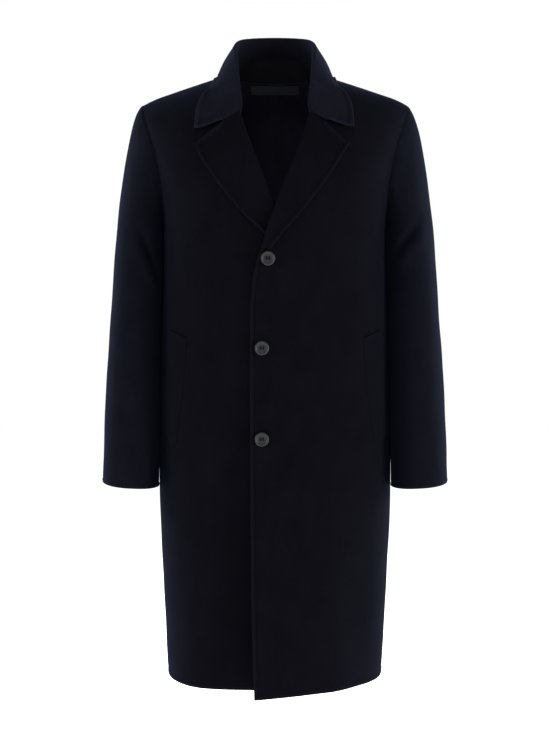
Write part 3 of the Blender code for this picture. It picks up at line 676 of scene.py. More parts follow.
@dataclass
class ClothWall:
    """A sheet of cloth with thickness: two faces that meet in rounded edges.

    The grid's lines run at the shares in across and along; place lays them on the form. facing is a rough
    direction of the good side at the grid's middle. Sewn edges round off within lip and slip past the seam by
    tuck. fells are edges whose turning is felled down inside, ropes are sleeve heads that rise a little and
    then dip, and turn_ups are the depths of turned hems.
    """

    name: str
    place: Place
    across: Array
    along: Array
    facing: tuple[float, float, float]
    thickness: float = CLOTH
    rims: dict[Edge, Rim] = field(default_factory=dict)
    fells: tuple[Edge, ...] = ()
    ropes: tuple[Edge, ...] = ()
    turn_ups: dict[Edge, float] = field(default_factory=dict)
    lip: float = 0.0003
    tuck: float = 0.0010
    tuck_reach: float = 0.0035
    fell_rise: float = 0.0016
    fell_width: float = 0.0115
    fell_slope: float = 0.0010
    rope_rise: float = 0.0002
    rope_crest: float = 0.0040
    rope_width: float = 0.0034
    dip_crest: float = 0.0110
    dip_width: float = 0.0035
    turn_up_rise: float = 0.0005
    turn_up_mark: float = 0.00012
    turn_up_slope: float = 0.0030
    mid: Array = field(init=False)
    outer: Array = field(init=False)
    normal: Array = field(init=False)
    insets: dict[Edge, Array] = field(init=False)
    turned_over: bool = field(init=False)

    def sewn(self, edge: Edge) -> Array:
        """How much of an edge is sewn to its neighbour, from 0 to 1 at each grid line along it."""
        share = self.along if edge in (Edge.START, Edge.END) else self.across
        rim = self.rims.get(edge)
        if rim is None:
            return np.ones_like(share)
        return np.zeros_like(share) if rim.weight is None else 1 - rim.weight(share)

    def tucked(self, mid: Array) -> Array:
        """Slips the sewn edges a little past the seam, so that no light shows between two pieces."""
        for edge in Edge:
            lines = mid.swapaxes(0, 1) if edge in (Edge.START, Edge.END) else mid
            lines = lines[::-1] if edge in (Edge.END, Edge.TOP) else lines
            away = np.linalg.norm(lines - lines[:1], axis=2)
            past = unit(lines[0] - lines[2])
            share = np.clip(1 - away / self.tuck_reach, 0.0, 1.0) * self.sewn(edge)
            lines = lines + past * (share * self.tuck)[..., None]
            lines = lines[::-1] if edge in (Edge.END, Edge.TOP) else lines
            mid = lines.swapaxes(0, 1) if edge in (Edge.START, Edge.END) else lines
        return mid

    def measure(self) -> None:
        """Lays the grid, and finds its directions and how far each point lies from each edge."""
        u, v = np.meshgrid(self.across, self.along)
        mid = self.tucked(self.place(u.ravel(), v.ravel()).reshape(*u.shape, 3))
        normal = unit(np.cross(np.gradient(mid, axis=1), np.gradient(mid, axis=0)))
        middle = normal[len(self.along) // 2, round(len(self.across) * 0.6)]
        self.turned_over = bool(middle @ np.array(self.facing) < 0)
        self.mid, self.normal = mid, -normal if self.turned_over else normal
        wide = np.linalg.norm(np.diff(mid, axis=1), axis=2).cumsum(axis=1)
        wide = np.concatenate([np.zeros((len(mid), 1)), wide], axis=1)
        long = np.linalg.norm(np.diff(mid, axis=0), axis=2).cumsum(axis=0)
        long = np.concatenate([np.zeros((1, mid.shape[1])), long], axis=0)
        self.insets = {
            Edge.START: wide,
            Edge.END: wide[:, -1:] - wide,
            Edge.FOOT: long,
            Edge.TOP: long[-1:] - long,
        }

    def heights(self) -> tuple[Array, Array, Array]:
        """How far the good and the wrong side stand off the middle, and how much painted edge highlight each
        point gets.
        """
        half = self.thickness / 2
        good = np.full(self.mid.shape[:2], half)
        wrong = good.copy()
        painted_highlight_mask = np.zeros_like(good)
        ends, bent = np.ones_like(good), np.zeros_like(good)
        u, v = np.meshgrid(self.across, self.along)
        for edge, inset in self.insets.items():
            share = v if edge in (Edge.START, Edge.END) else u
            rim = self.rims.get(edge)
            reach = self.lip
            if rim:
                weight = np.ones_like(good) if rim.weight is None else rim.weight(share)
                bead = rim.puff * rim.bead(inset)
                good = good + weight * (bead - rim.groove * hump(inset - rim.inset, rim.groove_width))
                wrong = wrong + weight * bead / 4
                lift = rim.lift * (weight if rim.lifted is None else rim.lifted(share))
                bent = bent + lift * rim.bend(inset)
                # Along turned edges a lighter colour is painted in: a painted highlight for light catching
                # the edge
                painted_highlight_mask = np.maximum(painted_highlight_mask, weight * rim.painted_highlight_share(inset))
                reach = mix(self.lip, 0.6 * self.thickness, weight)
            if edge in self.fells:
                wrong = wrong + self.fell_rise * (1 - ease((inset - self.fell_width) / self.fell_slope))
            if edge in self.ropes:
                good = good + self.rope_rise * hump(inset - self.rope_crest, self.rope_width)
                good = good - self.rope_rise * hump(inset - self.dip_crest, self.dip_width)
            if edge in self.turn_ups:
                past = inset - self.turn_ups[edge]
                wrong = wrong + self.turn_up_rise * (1 - ease(past / self.turn_up_slope))
                good = good - self.turn_up_mark * hump(past, self.turn_up_slope)
            near = np.clip(inset / reach, 0.0, 1.0)
            ends = ends * np.sqrt(np.maximum(1 - (1 - near) ** 2, 0.0))
        return good * ends + bent, wrong * ends - bent, painted_highlight_mask

    def build(self, face: bpy.types.Material, inside: bpy.types.Material) -> bpy.types.Object:
        """Makes the wall's mesh.

        Args:
            face: Finish of the good side.
            inside: Finish of the wrong side.

        Returns:
            The new piece.
        """
        self.measure()
        good, wrong, painted_highlight_mask = self.heights()
        self.outer = self.mid + self.normal * good[..., None]
        inner = self.mid - self.normal * wrong[..., None]
        rows, columns = good.shape
        top = np.arange(rows * columns).reshape(rows, columns)
        under = top.copy()
        under[1:-1, 1:-1] = rows * columns + np.arange((rows - 2) * (columns - 2)).reshape(rows - 2, -1)
        quads = [
            np.stack([g[:-1, :-1], g[:-1, 1:], g[1:, 1:], g[1:, :-1]], axis=-1).reshape(-1, 4)
            for g in (top, under)
        ]
        quads[0 if self.turned_over else 1] = quads[0 if self.turned_over else 1][:, ::-1]
        mesh = bpy.data.meshes.new(self.name)
        places = np.concatenate([self.outer.reshape(-1, 3), inner[1:-1, 1:-1].reshape(-1, 3)])
        mesh.from_pydata(places.tolist(), [], np.concatenate(quads).tolist())
        mesh.materials.append(face)
        mesh.materials.append(inside)
        sides = np.repeat([0, 1], [len(quads[0]), len(quads[1])])
        mesh.polygons.foreach_set("material_index", sides.astype(np.int32))
        flat = np.stack([self.insets[Edge.START], self.insets[Edge.FOOT]], axis=-1)
        flat = np.concatenate([flat.reshape(-1, 2), flat[1:-1, 1:-1].reshape(-1, 2)])
        corners = np.zeros(len(mesh.loops), np.int32)
        mesh.loops.foreach_get("vertex_index", corners)
        mesh.uv_layers.new(name="cloth").data.foreach_set("uv", flat[corners].ravel().astype(np.float32))
        # The rim attribute carries the painted edge highlight to the wool's shader
        rim = mesh.attributes.new("rim", "FLOAT", "POINT")
        mask = np.concatenate([painted_highlight_mask.ravel(), painted_highlight_mask[1:-1, 1:-1].ravel()])
        rim.data.foreach_set("value", mask.astype(np.float32))
        mesh.shade_smooth()
        return add_object(self.name, mesh)

    def line(self, edge: Edge, inset: float) -> tuple[Array, Array]:
        """A line on the good side that keeps a distance from an edge.

        Args:
            edge: The edge.
            inset: The distance, in metres.

        Returns:
            The line's points and the directions out of the cloth there.
        """
        swap = edge in (Edge.FOOT, Edge.TOP)
        away, outer, normal = self.insets[edge], self.outer, self.normal
        if swap:
            away, outer, normal = away.T, outer.swapaxes(0, 1), normal.swapaxes(0, 1)
        order = slice(None, None, -1) if edge in (Edge.END, Edge.TOP) else slice(None)
        found = [
            [np.interp(inset, a[order], part[order, k]) for part in (p, n) for k in range(3)]
            for a, p, n in zip(away, outer, normal)
        ]
        both = np.array(found)
        return both[:, :3], unit(both[:, 3:])


@dataclass(frozen=True)
class PickStitches:
    """A row of short hand-like stitches, half sunk in the cloth."""

    spacing: float = 0.0075
    length: float = 0.0026
    radius: float = 0.00032
    sides: int = 6

    def build(self, name: str, *lines: tuple[Array, Array]) -> bpy.types.Object:
        """Makes the stitches of one piece.

        Args:
            name: The new piece's name.
            *lines: For each row, its points and the directions out of the cloth.

        Returns:
            The stitches as one mesh.
        """
        shape = [(-1.0, 0.0), (-0.85, 0.6), (-0.4, 0.95), (0.4, 0.95), (0.85, 0.6), (1.0, 0.0)]
        turn = np.linspace(0, 2 * np.pi, self.sides, endpoint=False)
        ring = np.array([[(t, r * np.cos(a), r * np.sin(a)) for a in turn] for t, r in shape]).reshape(-1, 3)
        ring = ring * (self.length / 2, self.radius, self.radius)
        faces = [
            [i * self.sides + k, i * self.sides + (k + 1) % self.sides]
            + [(i + 1) * self.sides + (k + 1) % self.sides, (i + 1) * self.sides + k]
            for i in range(len(shape) - 1)
            for k in range(self.sides)
        ]
        vertices, quads = [], []
        for line, out in lines:
            run = run_lengths(line)
            at = np.arange(self.spacing, run[-1] - self.spacing / 2, self.spacing)
            spots, up = along_line(line, at, run), unit(along_line(out, at, run))
            ahead = unit(along_line(line, at + 1e-3, run) - along_line(line, at - 1e-3, run))
            across = unit(np.cross(up, ahead))
            for spot, a, b, c in zip(spots, ahead, across, up):
                quads += [[len(vertices) + k for k in f] for f in faces]
                vertices += (spot + ring @ np.stack([a, b, c])).tolist()
        mesh = bpy.data.meshes.new(name)
        mesh.from_pydata(vertices, [], quads)
        mesh.materials.append(THREAD.material)
        mesh.shade_smooth()
        joined = bmesh.new()
        joined.from_mesh(mesh)
        bmesh.ops.remove_doubles(joined, verts=joined.verts, dist=1e-6)
        bmesh.ops.recalc_face_normals(joined, faces=joined.faces)
        joined.to_mesh(mesh)
        joined.free()
        return add_object(name, mesh)


class NodeBoard:
    """A node tree with short ways to place nodes and join sockets."""

    def __init__(self, tree: bpy.types.NodeTree) -> None:
        """Keeps the tree that the nodes go on."""
        self.tree = tree

    def add(self, kind: str, **values: object) -> bpy.types.Node:
        """Places a node.

        Args:
            kind: Blender's name of the node's type.
            **values: Properties, or inputs where the name has a socket_ prefix.

        Returns:
            The node.
        """
        node = self.tree.nodes.new(kind)
        for name, value in values.items():
            if name.startswith("socket_"):
                node.inputs[name.removeprefix("socket_").replace("_", " ")].default_value = value
            else:
                setattr(node, name, value)
        return node

    def join(self, start: bpy.types.NodeSocket, end: bpy.types.NodeSocket) -> None:
        """Links two sockets."""
        self.tree.links.new(start, end)

    def feed(self, socket: bpy.types.NodeSocket, value: object) -> None:
        """Gives a socket its value, from another socket or as it is."""
        if isinstance(value, bpy.types.NodeSocket):
            self.join(value, socket)
        else:
            socket.default_value = value

    def maths(self, operation: str, a: object, b: object) -> bpy.types.NodeSocket:
        """Works out one value from two, each a socket or a number.

        Args:
            operation: Blender's name of the operation.
            a: First value.
            b: Second value.

        Returns:
            The socket with the result.
        """
        node = self.add("ShaderNodeMath", operation=operation)
        for socket, value in zip(node.inputs, (a, b)):
            self.feed(socket, value)
        return node.outputs[0]

    def blend(self, share: bpy.types.NodeSocket, a: object, b: object) -> bpy.types.NodeSocket:
        """Mixes two colours, each a socket or a colour.

        Args:
            share: How much of the second colour shows.
            a: First colour.
            b: Second colour.

        Returns:
            The socket with the mixed colour.
        """
        node = self.add("ShaderNodeMix", data_type="RGBA", clamp_factor=True)
        self.join(share, node.inputs["Factor"])
        for socket, value in zip((node.inputs[6], node.inputs[7]), (a, b)):
            self.feed(socket, value)
        return node.outputs[2]

    def noise(self, scale: tuple[float, float, float], detail: float, rough: float) -> bpy.types.NodeSocket:
        """Noise over the piece's own coordinates.

        Args:
            scale: Cells to the metre along each axis.
            detail: Octaves.
            rough: Strength of the finer octaves.

        Returns:
            The socket with the noise's value.
        """
        where = self.add("ShaderNodeTexCoord").outputs["Object"]
        stretch = self.add("ShaderNodeMapping")
        stretch.inputs["Scale"].default_value = scale
        noise = self.add("ShaderNodeTexNoise", socket_Scale=1.0, socket_Detail=detail, socket_Roughness=rough)
        self.join(where, stretch.inputs["Vector"])
        self.join(stretch.outputs["Vector"], noise.inputs["Vector"])
        return noise.outputs["Fac"]


class Effect(Enum):
    """Surface effects that several finishes share, each kept as one node group."""

    NAP = "wool_nap"
    RIM = "rim_pile"
    TWILL = "twill_lines"

    def group(self) -> bpy.types.NodeTree:
        """The effect's node group, made on first use."""
        found = bpy.data.node_groups.get(self.value)
        if found:
            return found
        tree = bpy.data.node_groups.new(self.value, "ShaderNodeTree")
        board = NodeBoard(tree)
        {Effect.NAP: self._nap, Effect.RIM: self._rim, Effect.TWILL: self._twill}[self](tree, board)
        return tree

    def place(self, board: NodeBoard, **values: float) -> bpy.types.Node:
        """Puts the effect into a material.

        Args:
            board: The material's nodes.
            **values: The group's inputs.

        Returns:
            The group node.
        """
        node = board.add("ShaderNodeGroup")
        node.node_tree = self.group()
        for name, value in values.items():
            node.inputs[name].default_value = value
        return node

    @staticmethod
    def _sockets(tree: bpy.types.NodeTree, inputs: dict[str, float], outputs: tuple[str, ...]) -> None:
        """Names a group's inputs, with their usual values, and its outputs."""
        for name, value in inputs.items():
            socket = tree.interface.new_socket(name, in_out="INPUT", socket_type="NodeSocketFloat")
            socket.default_value = value
        for name in outputs:
            tree.interface.new_socket(name, in_out="OUTPUT", socket_type="NodeSocketFloat")

    @staticmethod
    def _nap(tree: bpy.types.NodeTree, board: NodeBoard) -> None:
        """Brushed wool: fine fibres laid down the coat, felted clumps and a faint cloudy tone."""
        Effect._sockets(tree, {"Fibres": 1.0, "Clouds": 1.0}, ("Tone", "Height"))
        inputs, result = board.add("NodeGroupInput"), board.add("NodeGroupOutput")
        fibre = board.noise((1500.0, 1500.0, 330.0), 3.0, 0.6)
        clump = board.noise((420.0, 420.0, 260.0), 2.0, 0.5)
        cloud = board.noise((34.0, 34.0, 22.0), 3.0, 0.55)
        fine = board.maths("MULTIPLY", board.maths("SUBTRACT", fibre, 0.5), inputs.outputs["Fibres"])
        felt = board.maths("MULTIPLY", board.maths("SUBTRACT", clump, 0.5), inputs.outputs["Fibres"])
        broad = board.maths("MULTIPLY", board.maths("SUBTRACT", cloud, 0.5), inputs.outputs["Clouds"])
        tone = board.maths("ADD", board.maths("ADD", fine, board.maths("MULTIPLY", felt, 0.7)), broad)
        board.join(board.maths("ADD", tone, 0.5), result.inputs["Tone"])
        height = board.maths("ADD", board.maths("MULTIPLY", fine, 0.6), felt)
        board.join(board.maths("ADD", height, 0.5), result.inputs["Height"])

    @staticmethod
    def _rim(tree: bpy.types.NodeTree, board: NodeBoard) -> None:
        """A painted highlight along turned edges, broken up unevenly."""
        Effect._sockets(tree, {"Strength": 1.0}, ("Mask",))
        inputs, result = board.add("NodeGroupInput"), board.add("NodeGroupOutput")
        rim = board.add("ShaderNodeAttribute", attribute_name="rim").outputs["Fac"]
        uneven = board.maths("ADD", board.noise((160.0, 160.0, 160.0), 3.0, 0.6), 0.45)
        mask = board.maths("MULTIPLY", board.maths("MULTIPLY", rim, uneven), inputs.outputs["Strength"])
        board.join(mask, result.inputs["Mask"])

    @staticmethod
    def _twill(tree: bpy.types.NodeTree, board: NodeBoard) -> None:
        """Fine slanted lines of twisted or woven yarn."""
        Effect._sockets(tree, {"Lines": 1800.0}, ("Tone", "Height"))
        inputs, result = board.add("NodeGroupInput"), board.add("NodeGroupOutput")
        where = board.add("ShaderNodeTexCoord").outputs["Object"]
        wave = board.add("ShaderNodeTexWave", bands_direction="DIAGONAL", socket_Distortion=0.4)
        board.join(where, wave.inputs["Vector"])
        board.join(board.maths("MULTIPLY", inputs.outputs["Lines"], 0.16), wave.inputs["Scale"])
        board.join(wave.outputs["Fac"], result.inputs["Height"])
        tone = board.maths("MULTIPLY", wave.outputs["Fac"], 0.6)
        grain = board.maths("MULTIPLY", board.noise((900.0, 900.0, 900.0), 2.0, 0.5), 0.5)
        board.join(board.maths("ADD", tone, grain), result.inputs["Tone"])


def new_material(name: str) -> tuple[bpy.types.Material, NodeBoard, bpy.types.Node]:
    """Starts a material.

    Args:
        name: The material's name.

    Returns:
        The material, its nodes and its shader.
    """
    made = bpy.data.materials.new(name)
    made.use_nodes = True
    return made, NodeBoard(made.node_tree), made.node_tree.nodes["Principled BSDF"]


@dataclass(frozen=True)
class WoolFinish:
    """Brushed double-faced coating: very dark navy, matt, with a soft sheen at glancing angles."""

    name: str
    dark: Colour
    light: Colour
    # A lighter colour painted along turned edges: a painted highlight
    rim: Colour
    sheen: float = 0.020
    sheen_tint: Colour = (0.30, 0.46, 1.0, 1.0)
    fibres: float = 1.0
    clouds: float = 0.7
    painted_highlight_strength: float = 0.55
    bump: float = 0.35

    @cached_property
    def material(self) -> bpy.types.Material:
        """The finish as a material, made once."""
        made, board, shader = new_material(self.name)
        nap = Effect.NAP.place(board, Fibres=self.fibres, Clouds=self.clouds)
        # The rim colour is painted in along turned edges by the rim mask: a painted highlight in place of
        # light catching the edges
        edge = Effect.RIM.place(board, Strength=self.painted_highlight_strength)
        cloth = board.blend(nap.outputs["Tone"], self.dark, self.light)
        board.join(board.blend(edge.outputs["Mask"], cloth, self.rim), shader.inputs["Base Color"])
        rough = board.add("ShaderNodeMapRange", socket_To_Min=0.98, socket_To_Max=0.84)
        board.join(nap.outputs["Tone"], rough.inputs["Value"])
        board.join(rough.outputs["Result"], shader.inputs["Roughness"])
        bump = board.add("ShaderNodeBump", socket_Strength=self.bump, socket_Distance=0.0009)
        board.join(nap.outputs["Height"], bump.inputs["Height"])
        board.join(bump.outputs["Normal"], shader.inputs["Normal"])
        shader.inputs["Specular IOR Level"].default_value = 0.008
        shader.inputs["Sheen Weight"].default_value = self.sheen
        shader.inputs["Sheen Roughness"].default_value = 0.42
        shader.inputs["Sheen Tint"].default_value = self.sheen_tint
        return made


@dataclass(frozen=True)
class YarnFinish:
    """Twisted sewing thread, or the woven satin of a label."""

    name: str
    dark: Colour
    light: Colour
    roughness: float
    lines: float
    bump: float

    @cached_property
    def material(self) -> bpy.types.Material:
        """The finish as a material, made once."""
        made, board, shader = new_material(self.name)
        yarn = Effect.TWILL.place(board, Lines=self.lines)
        board.join(board.blend(yarn.outputs["Tone"], self.dark, self.light), shader.inputs["Base Color"])
        bump = board.add("ShaderNodeBump", socket_Strength=self.bump, socket_Distance=0.0002)
        board.join(yarn.outputs["Height"], bump.inputs["Height"])
        board.join(bump.outputs["Normal"], shader.inputs["Normal"])
        shader.inputs["Roughness"].default_value = self.roughness
        shader.inputs["Specular IOR Level"].default_value = 0.08
        return made


@dataclass(frozen=True)
class HornFinish:
    """Dark grey horn with pale streaks and fine turning marks."""

    name: str = "dark_horn_satin"
    dark: Colour = (0.0078, 0.0077, 0.0084, 1.0)
    light: Colour = (0.0300, 0.0295, 0.0308, 1.0)

    @cached_property
    def material(self) -> bpy.types.Material:
        """The finish as a material, made once."""
        made, board, shader = new_material(self.name)
        streak = board.noise((160.0, 160.0, 620.0), 5.0, 0.62)
        board.join(board.blend(streak, self.dark, self.light), shader.inputs["Base Color"])
        rough = board.add("ShaderNodeMapRange", socket_To_Min=0.34, socket_To_Max=0.52)
        board.join(streak, rough.inputs["Value"])
        board.join(rough.outputs["Result"], shader.inputs["Roughness"])
        bump = board.add("ShaderNodeBump", socket_Strength=0.12, socket_Distance=0.0002)
        board.join(board.noise((2600.0, 2600.0, 2600.0), 2.0, 0.5), bump.inputs["Height"])
        board.join(bump.outputs["Normal"], shader.inputs["Normal"])
        shader.inputs["Specular IOR Level"].default_value = 0.26
        return made


@dataclass(frozen=True)
class FloorFinish:
    """A plain pale studio floor."""

    name: str = "pale_floor"
    dark: Colour = (0.90, 0.90, 0.90, 1.0)
    light: Colour = (0.94, 0.94, 0.94, 1.0)
    glow: float = 0.86

    @cached_property
    def material(self) -> bpy.types.Material:
        """The finish as a material, made once."""
        made, board, shader = new_material(self.name)
        cloudy = board.noise((2.0, 2.0, 2.0), 2.0, 0.5)
        board.join(board.blend(cloudy, self.dark, self.light), shader.inputs["Base Color"])
        shader.inputs["Roughness"].default_value = 0.9
        shader.inputs["Emission Color"].default_value = self.light
        shader.inputs["Emission Strength"].default_value = self.glow
        return made


WOOL = WoolFinish(
    name="navy_wool_face",
    dark=(0.0020, 0.0018, 0.0028, 1.0),
    light=(0.0047, 0.0043, 0.0066, 1.0),
    rim=(0.0053, 0.0050, 0.0076, 1.0),
)
# A lighter, bluer copy of the wool for the sleeves: painted light standing in for the bluish side light on
# them
WOOL_ARM_PAINTED_LIGHT = WoolFinish(
    name="navy_wool_arm_painted_light",
    dark=(0.0028, 0.0029, 0.0047, 1.0),
    light=(0.0064, 0.0066, 0.0108, 1.0),
    rim=(0.0070, 0.0072, 0.0116, 1.0),
)
# A lighter, bluer copy of the wool for the collar: painted light standing in for the light that falls on it
WOOL_COLLAR_PAINTED_LIGHT = WoolFinish(
    name="navy_wool_collar_painted_light",
    dark=(0.0043, 0.0042, 0.0069, 1.0),
    light=(0.0098, 0.0096, 0.0157, 1.0),
    rim=(0.0104, 0.0102, 0.0164, 1.0),
)
# A much lighter copy of the wool for the inside faces: painted light where the inside lies in shade
WOOL_INSIDE_PAINTED_LIGHT = WoolFinish(
    name="navy_wool_inside_painted_light",
    dark=(0.0117, 0.0106, 0.0186, 1.0),
    light=(0.0255, 0.0234, 0.0388, 1.0),
    rim=(0.0130, 0.0118, 0.0190, 1.0),
    sheen=0.008,
    sheen_tint=(0.66, 0.68, 1.0, 1.0),
    fibres=0.8,
)
# A lighter copy of the wool for the collar stand: painted light where the stand lies in shade
WOOL_NECK_PAINTED_LIGHT = WoolFinish(
    name="navy_wool_neck_painted_light",
    dark=(0.0055, 0.0055, 0.0080, 1.0),
    light=(0.0124, 0.0125, 0.0182, 1.0),
    rim=(0.0080, 0.0080, 0.0114, 1.0),
    sheen=0.012,
    sheen_tint=(0.50, 0.58, 1.0, 1.0),
)
THREAD = YarnFinish(
    name="navy_thread",
    dark=(0.0022, 0.0022, 0.0034, 1.0),
    light=(0.0056, 0.0055, 0.0084, 1.0),
    roughness=0.80,
    lines=5200.0,
    bump=0.4,
)
SATIN = YarnFinish(
    name="label_weave",
    dark=(0.026, 0.0270, 0.0345, 1.0),
    light=(0.054, 0.0555, 0.0690, 1.0),
    roughness=0.60,
    lines=2600.0,
    bump=0.3,
)
HORN = HornFinish()
FLOOR = FloorFinish()


def publish(piece: bpy.types.Object, slot: str, *nodes: str) -> None:
    """Makes a piece part of the coat.

    Args:
        piece: The piece.
        slot: The record's material slot; not used.
        *nodes: The solids that it stands for.
    """
    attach(piece, "root")
    if nodes:
        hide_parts(*nodes)
    LOG.info("%s: %d faces", piece.name, len(piece.data.polygons))


@dataclass
class Fronts:
    """One front of the coat with its folded lapel and its pocket welt."""

    side: Side
    cloth_width: float = 0.265
    columns: int = 62
    skirt_rows: int = 130
    chest_rows: int = 76
    lapel_rows: int = 62
    lapel_columns: int = 34
    roll_share: float = 1 / 3
    break_taper: float = 0.45
    welt_cloth: float = 0.0022
    welt_sink: float = 0.0008
    welt_mouth: float = 0.0012
    welt: Table = Table(
        ("share", "inner_x", "inner_z", "outer_x", "outer_z"),
        (
            (0.0, 0.1390, -0.4188, 0.1690, -0.4077),
            (0.5, 0.1470, -0.5038, 0.1755, -0.4930),
            (1.0, 0.1590, -0.5935, 0.1835, -0.5830),
        ),
    )

    @cached_property
    def form(self) -> FrontForm:
        """The form that the front lies on."""
        return FrontForm(self.side)

    @cached_property
    def lapel_edge(self) -> Table:
        """Where each row across the lapel ends, by share of the roll from the break to the gorge."""
        rows = {
            Side.LEFT: (
                (0.00, -0.0060, -0.2740),
                (0.15, 0.0120, -0.2510),
                (0.35, 0.0395, -0.2185),
                (0.55, 0.0650, -0.1860),
                (0.75, 0.0895, -0.1515),
                (0.90, 0.1065, -0.1250),
                (1.00, 0.1137, -0.1131),
            ),
            Side.RIGHT: (
                (0.00, 0.0060, -0.2765),
                (0.15, 0.0160, -0.2530),
                (0.35, 0.0468, -0.2232),
                (0.55, 0.0738, -0.1925),
                (0.75, 0.0988, -0.1580),
                (0.90, 0.1165, -0.1300),
                (1.00, 0.1238, -0.1125),
            ),
        }
        return Table(("share", "x", "z"), rows[self.side])

    def place_panel(self, u: Array, v: Array) -> Array:
        """Lays the front's grid on the form."""
        x, z = BODY.rows(
            u, v, self.form.edge, lambda at: ARMHOLES[Face.FRONT].read("x", at), self.form.hem, BODY.ridge
        )
        return self.form.surface(x, z) + (0.0, -HALF_GAP, 0.0)

    def place_lapel(self, u: Array, v: Array) -> Array:
        """Lays the lapel's grid: over the roll, then flat on the front to its edge."""
        form, radius = self.form, self.form.roll_radius
        at, onward, out, roll_x, roll_z = form.roll(v * 0.995)
        q = np.clip((u - self.roll_share) / (1 - self.roll_share), 0.0, 1.0)
        x = mix(roll_x, self.lapel_edge.read("x", v), q)
        z = mix(roll_z, self.lapel_edge.read("z", v), q)
        tip_x, tip_z = self.lapel_edge.rows[-1][1:]
        notch_x, notch_z = NOTCHES[self.side]
        gorge_x = float(form.edge(np.array(form.gorge_z)))
        first, near, far = q <= NOTCH_SHARE, q / NOTCH_SHARE, (q - NOTCH_SHARE) / (1 - NOTCH_SHARE)
        top_x = np.where(first, mix(gorge_x, notch_x, near), mix(notch_x, tip_x, far))
        top_z = np.where(first, mix(form.gorge_z, notch_z, near), mix(notch_z, tip_z, far))
        bend = v**5
        x = x + bend * (top_x - mix(gorge_x, tip_x, q))
        z = z + bend * (top_z - SEAM_GAP - mix(form.gorge_z, tip_z, q))
        settle = (1 - ease(q / 0.25))[:, None]
        taper = mix(self.break_taper, 1.0, ease(v / 0.14))
        flat = form.surface(x, z, 2 * radius * taper) + onward * form.roll_gap * settle
        turn = (np.pi * np.clip(u / self.roll_share, 0.0, 1.0))[:, None]
        reach, height = form.roll_gap + radius * np.sin(turn), radius * (1 - np.cos(turn))
        fold = at + onward * reach * taper[:, None] + out * height * taper[:, None]
        return np.where((u > self.roll_share + 1e-6)[:, None], flat, fold)

    def place_welt(self, u: Array, v: Array) -> Array:
        """Lays the pocket welt's grid on the front."""
        x = mix(self.welt.read("inner_x", v), self.welt.read("outer_x", v), u)
        z = mix(self.welt.read("inner_z", v), self.welt.read("outer_z", v), u)
        mouth = self.welt_mouth * hump(v, 0.05) * ease(u / 0.2)
        return self.form.surface(x, z, (CLOTH + self.welt_cloth) / 2 - self.welt_sink + mouth)

    def build_panel(self) -> None:
        """Makes the front's main piece, with its turned edge and hem."""

        def below_break(v: Array) -> Array:
            """The edge is turned up to the lapel's break."""
            return 1 - ease((v - BODY.skirt_share + 0.010) / 0.012)

        wall = ClothWall(
            name=f"cloth_front_{self.side.word}",
            place=self.place_panel,
            across=grid_lines(self.columns, self.cloth_width),
            along=panel_lines(self.skirt_rows, self.chest_rows),
            facing=(0, -1, 0),
            rims={
                Edge.START: Rim(puff=0.0010, groove=0.0009, lift=-0.0005, weight=below_break),
                Edge.FOOT: HEM_RIM,
            },
            fells=(Edge.END,),
            turn_ups={Edge.FOOT: HEM_DEPTH},
        )
        piece = wall.build(WOOL.material, WOOL_INSIDE_PAINTED_LIGHT.material)
        publish(piece, "navy_wool", f"front_{self.side.word}")
        left = self.side is Side.LEFT
        stitches = []
        if left:
            line, out = wall.line(Edge.START, STITCH_INSET)
            keep = line[:, 2] < self.form.break_z - 0.012
            stitches.append(PickStitches().build("stitches_front_edge", (line[keep], out[keep])))
            publish(stitches[0], "navy_wool")

    def build_lapel(self) -> None:
        """Makes the lapel, folded back along its roll."""
        edge_lines = grid_lines(self.lapel_columns, 0.075)
        flat = self.roll_share + (1 - self.roll_share) * edge_lines[edge_lines > 0.02]
        roll = self.roll_share * np.array([0.0, 0.004, 0.012, 0.03, *np.linspace(0.06, 1.0, 14)])
        past_notch = free_past(mix(self.roll_share, 1.0, NOTCH_SHARE))
        wall = ClothWall(
            name=f"cloth_lapel_{self.side.word}",
            place=self.place_lapel,
            across=np.concatenate([roll, flat]),
            along=grid_lines(self.lapel_rows, 0.24),
            facing=(0, -1, 0),
            rims={Edge.END: Rim(lift=EDGE_LIFT), Edge.TOP: Rim(lift=EDGE_LIFT, weight=past_notch)},
            tuck=GORGE_TUCK,
        )
        piece = wall.build(WOOL.material, WOOL.material)
        publish(piece, "navy_wool", f"lapel_{self.side.word}")
        row = wall.line(Edge.END, STITCH_INSET)
        stitches = PickStitches().build(f"stitches_lapel_{self.side.word}", row)
        publish(stitches, "navy_wool")

    def build_welt(self) -> None:
        """Makes the slanted pocket welt."""
        # The welt's edges get only a faint painted highlight
        rim = Rim(inset=0.0050, puff=0.0002, groove=0.0002, lift=-0.0006, pile=0.1)
        wall = ClothWall(
            name=f"cloth_pocket_welt_{self.side.word}",
            place=self.place_welt,
            across=grid_lines(10, 0.031),
            along=grid_lines(46, 0.178),
            facing=(0, -1, 0),
            thickness=self.welt_cloth,
            rims=dict.fromkeys(Edge, rim),
        )
        piece = wall.build(WOOL.material, WOOL.material)
        publish(piece, "navy_wool", f"pocket_welt_{self.side.word}")
        rows = [wall.line(edge, 0.0040) for edge in (Edge.FOOT, Edge.TOP)]
        tacks = PickStitches(spacing=0.0042, length=0.0024).build(f"stitches_pocket_{self.side.word}", *rows)
        publish(tacks, "navy_wool")

    def build(self) -> None:
        """Makes the front, its lapel and its pocket."""
        self.build_panel()
        self.build_lapel()
        self.build_welt()


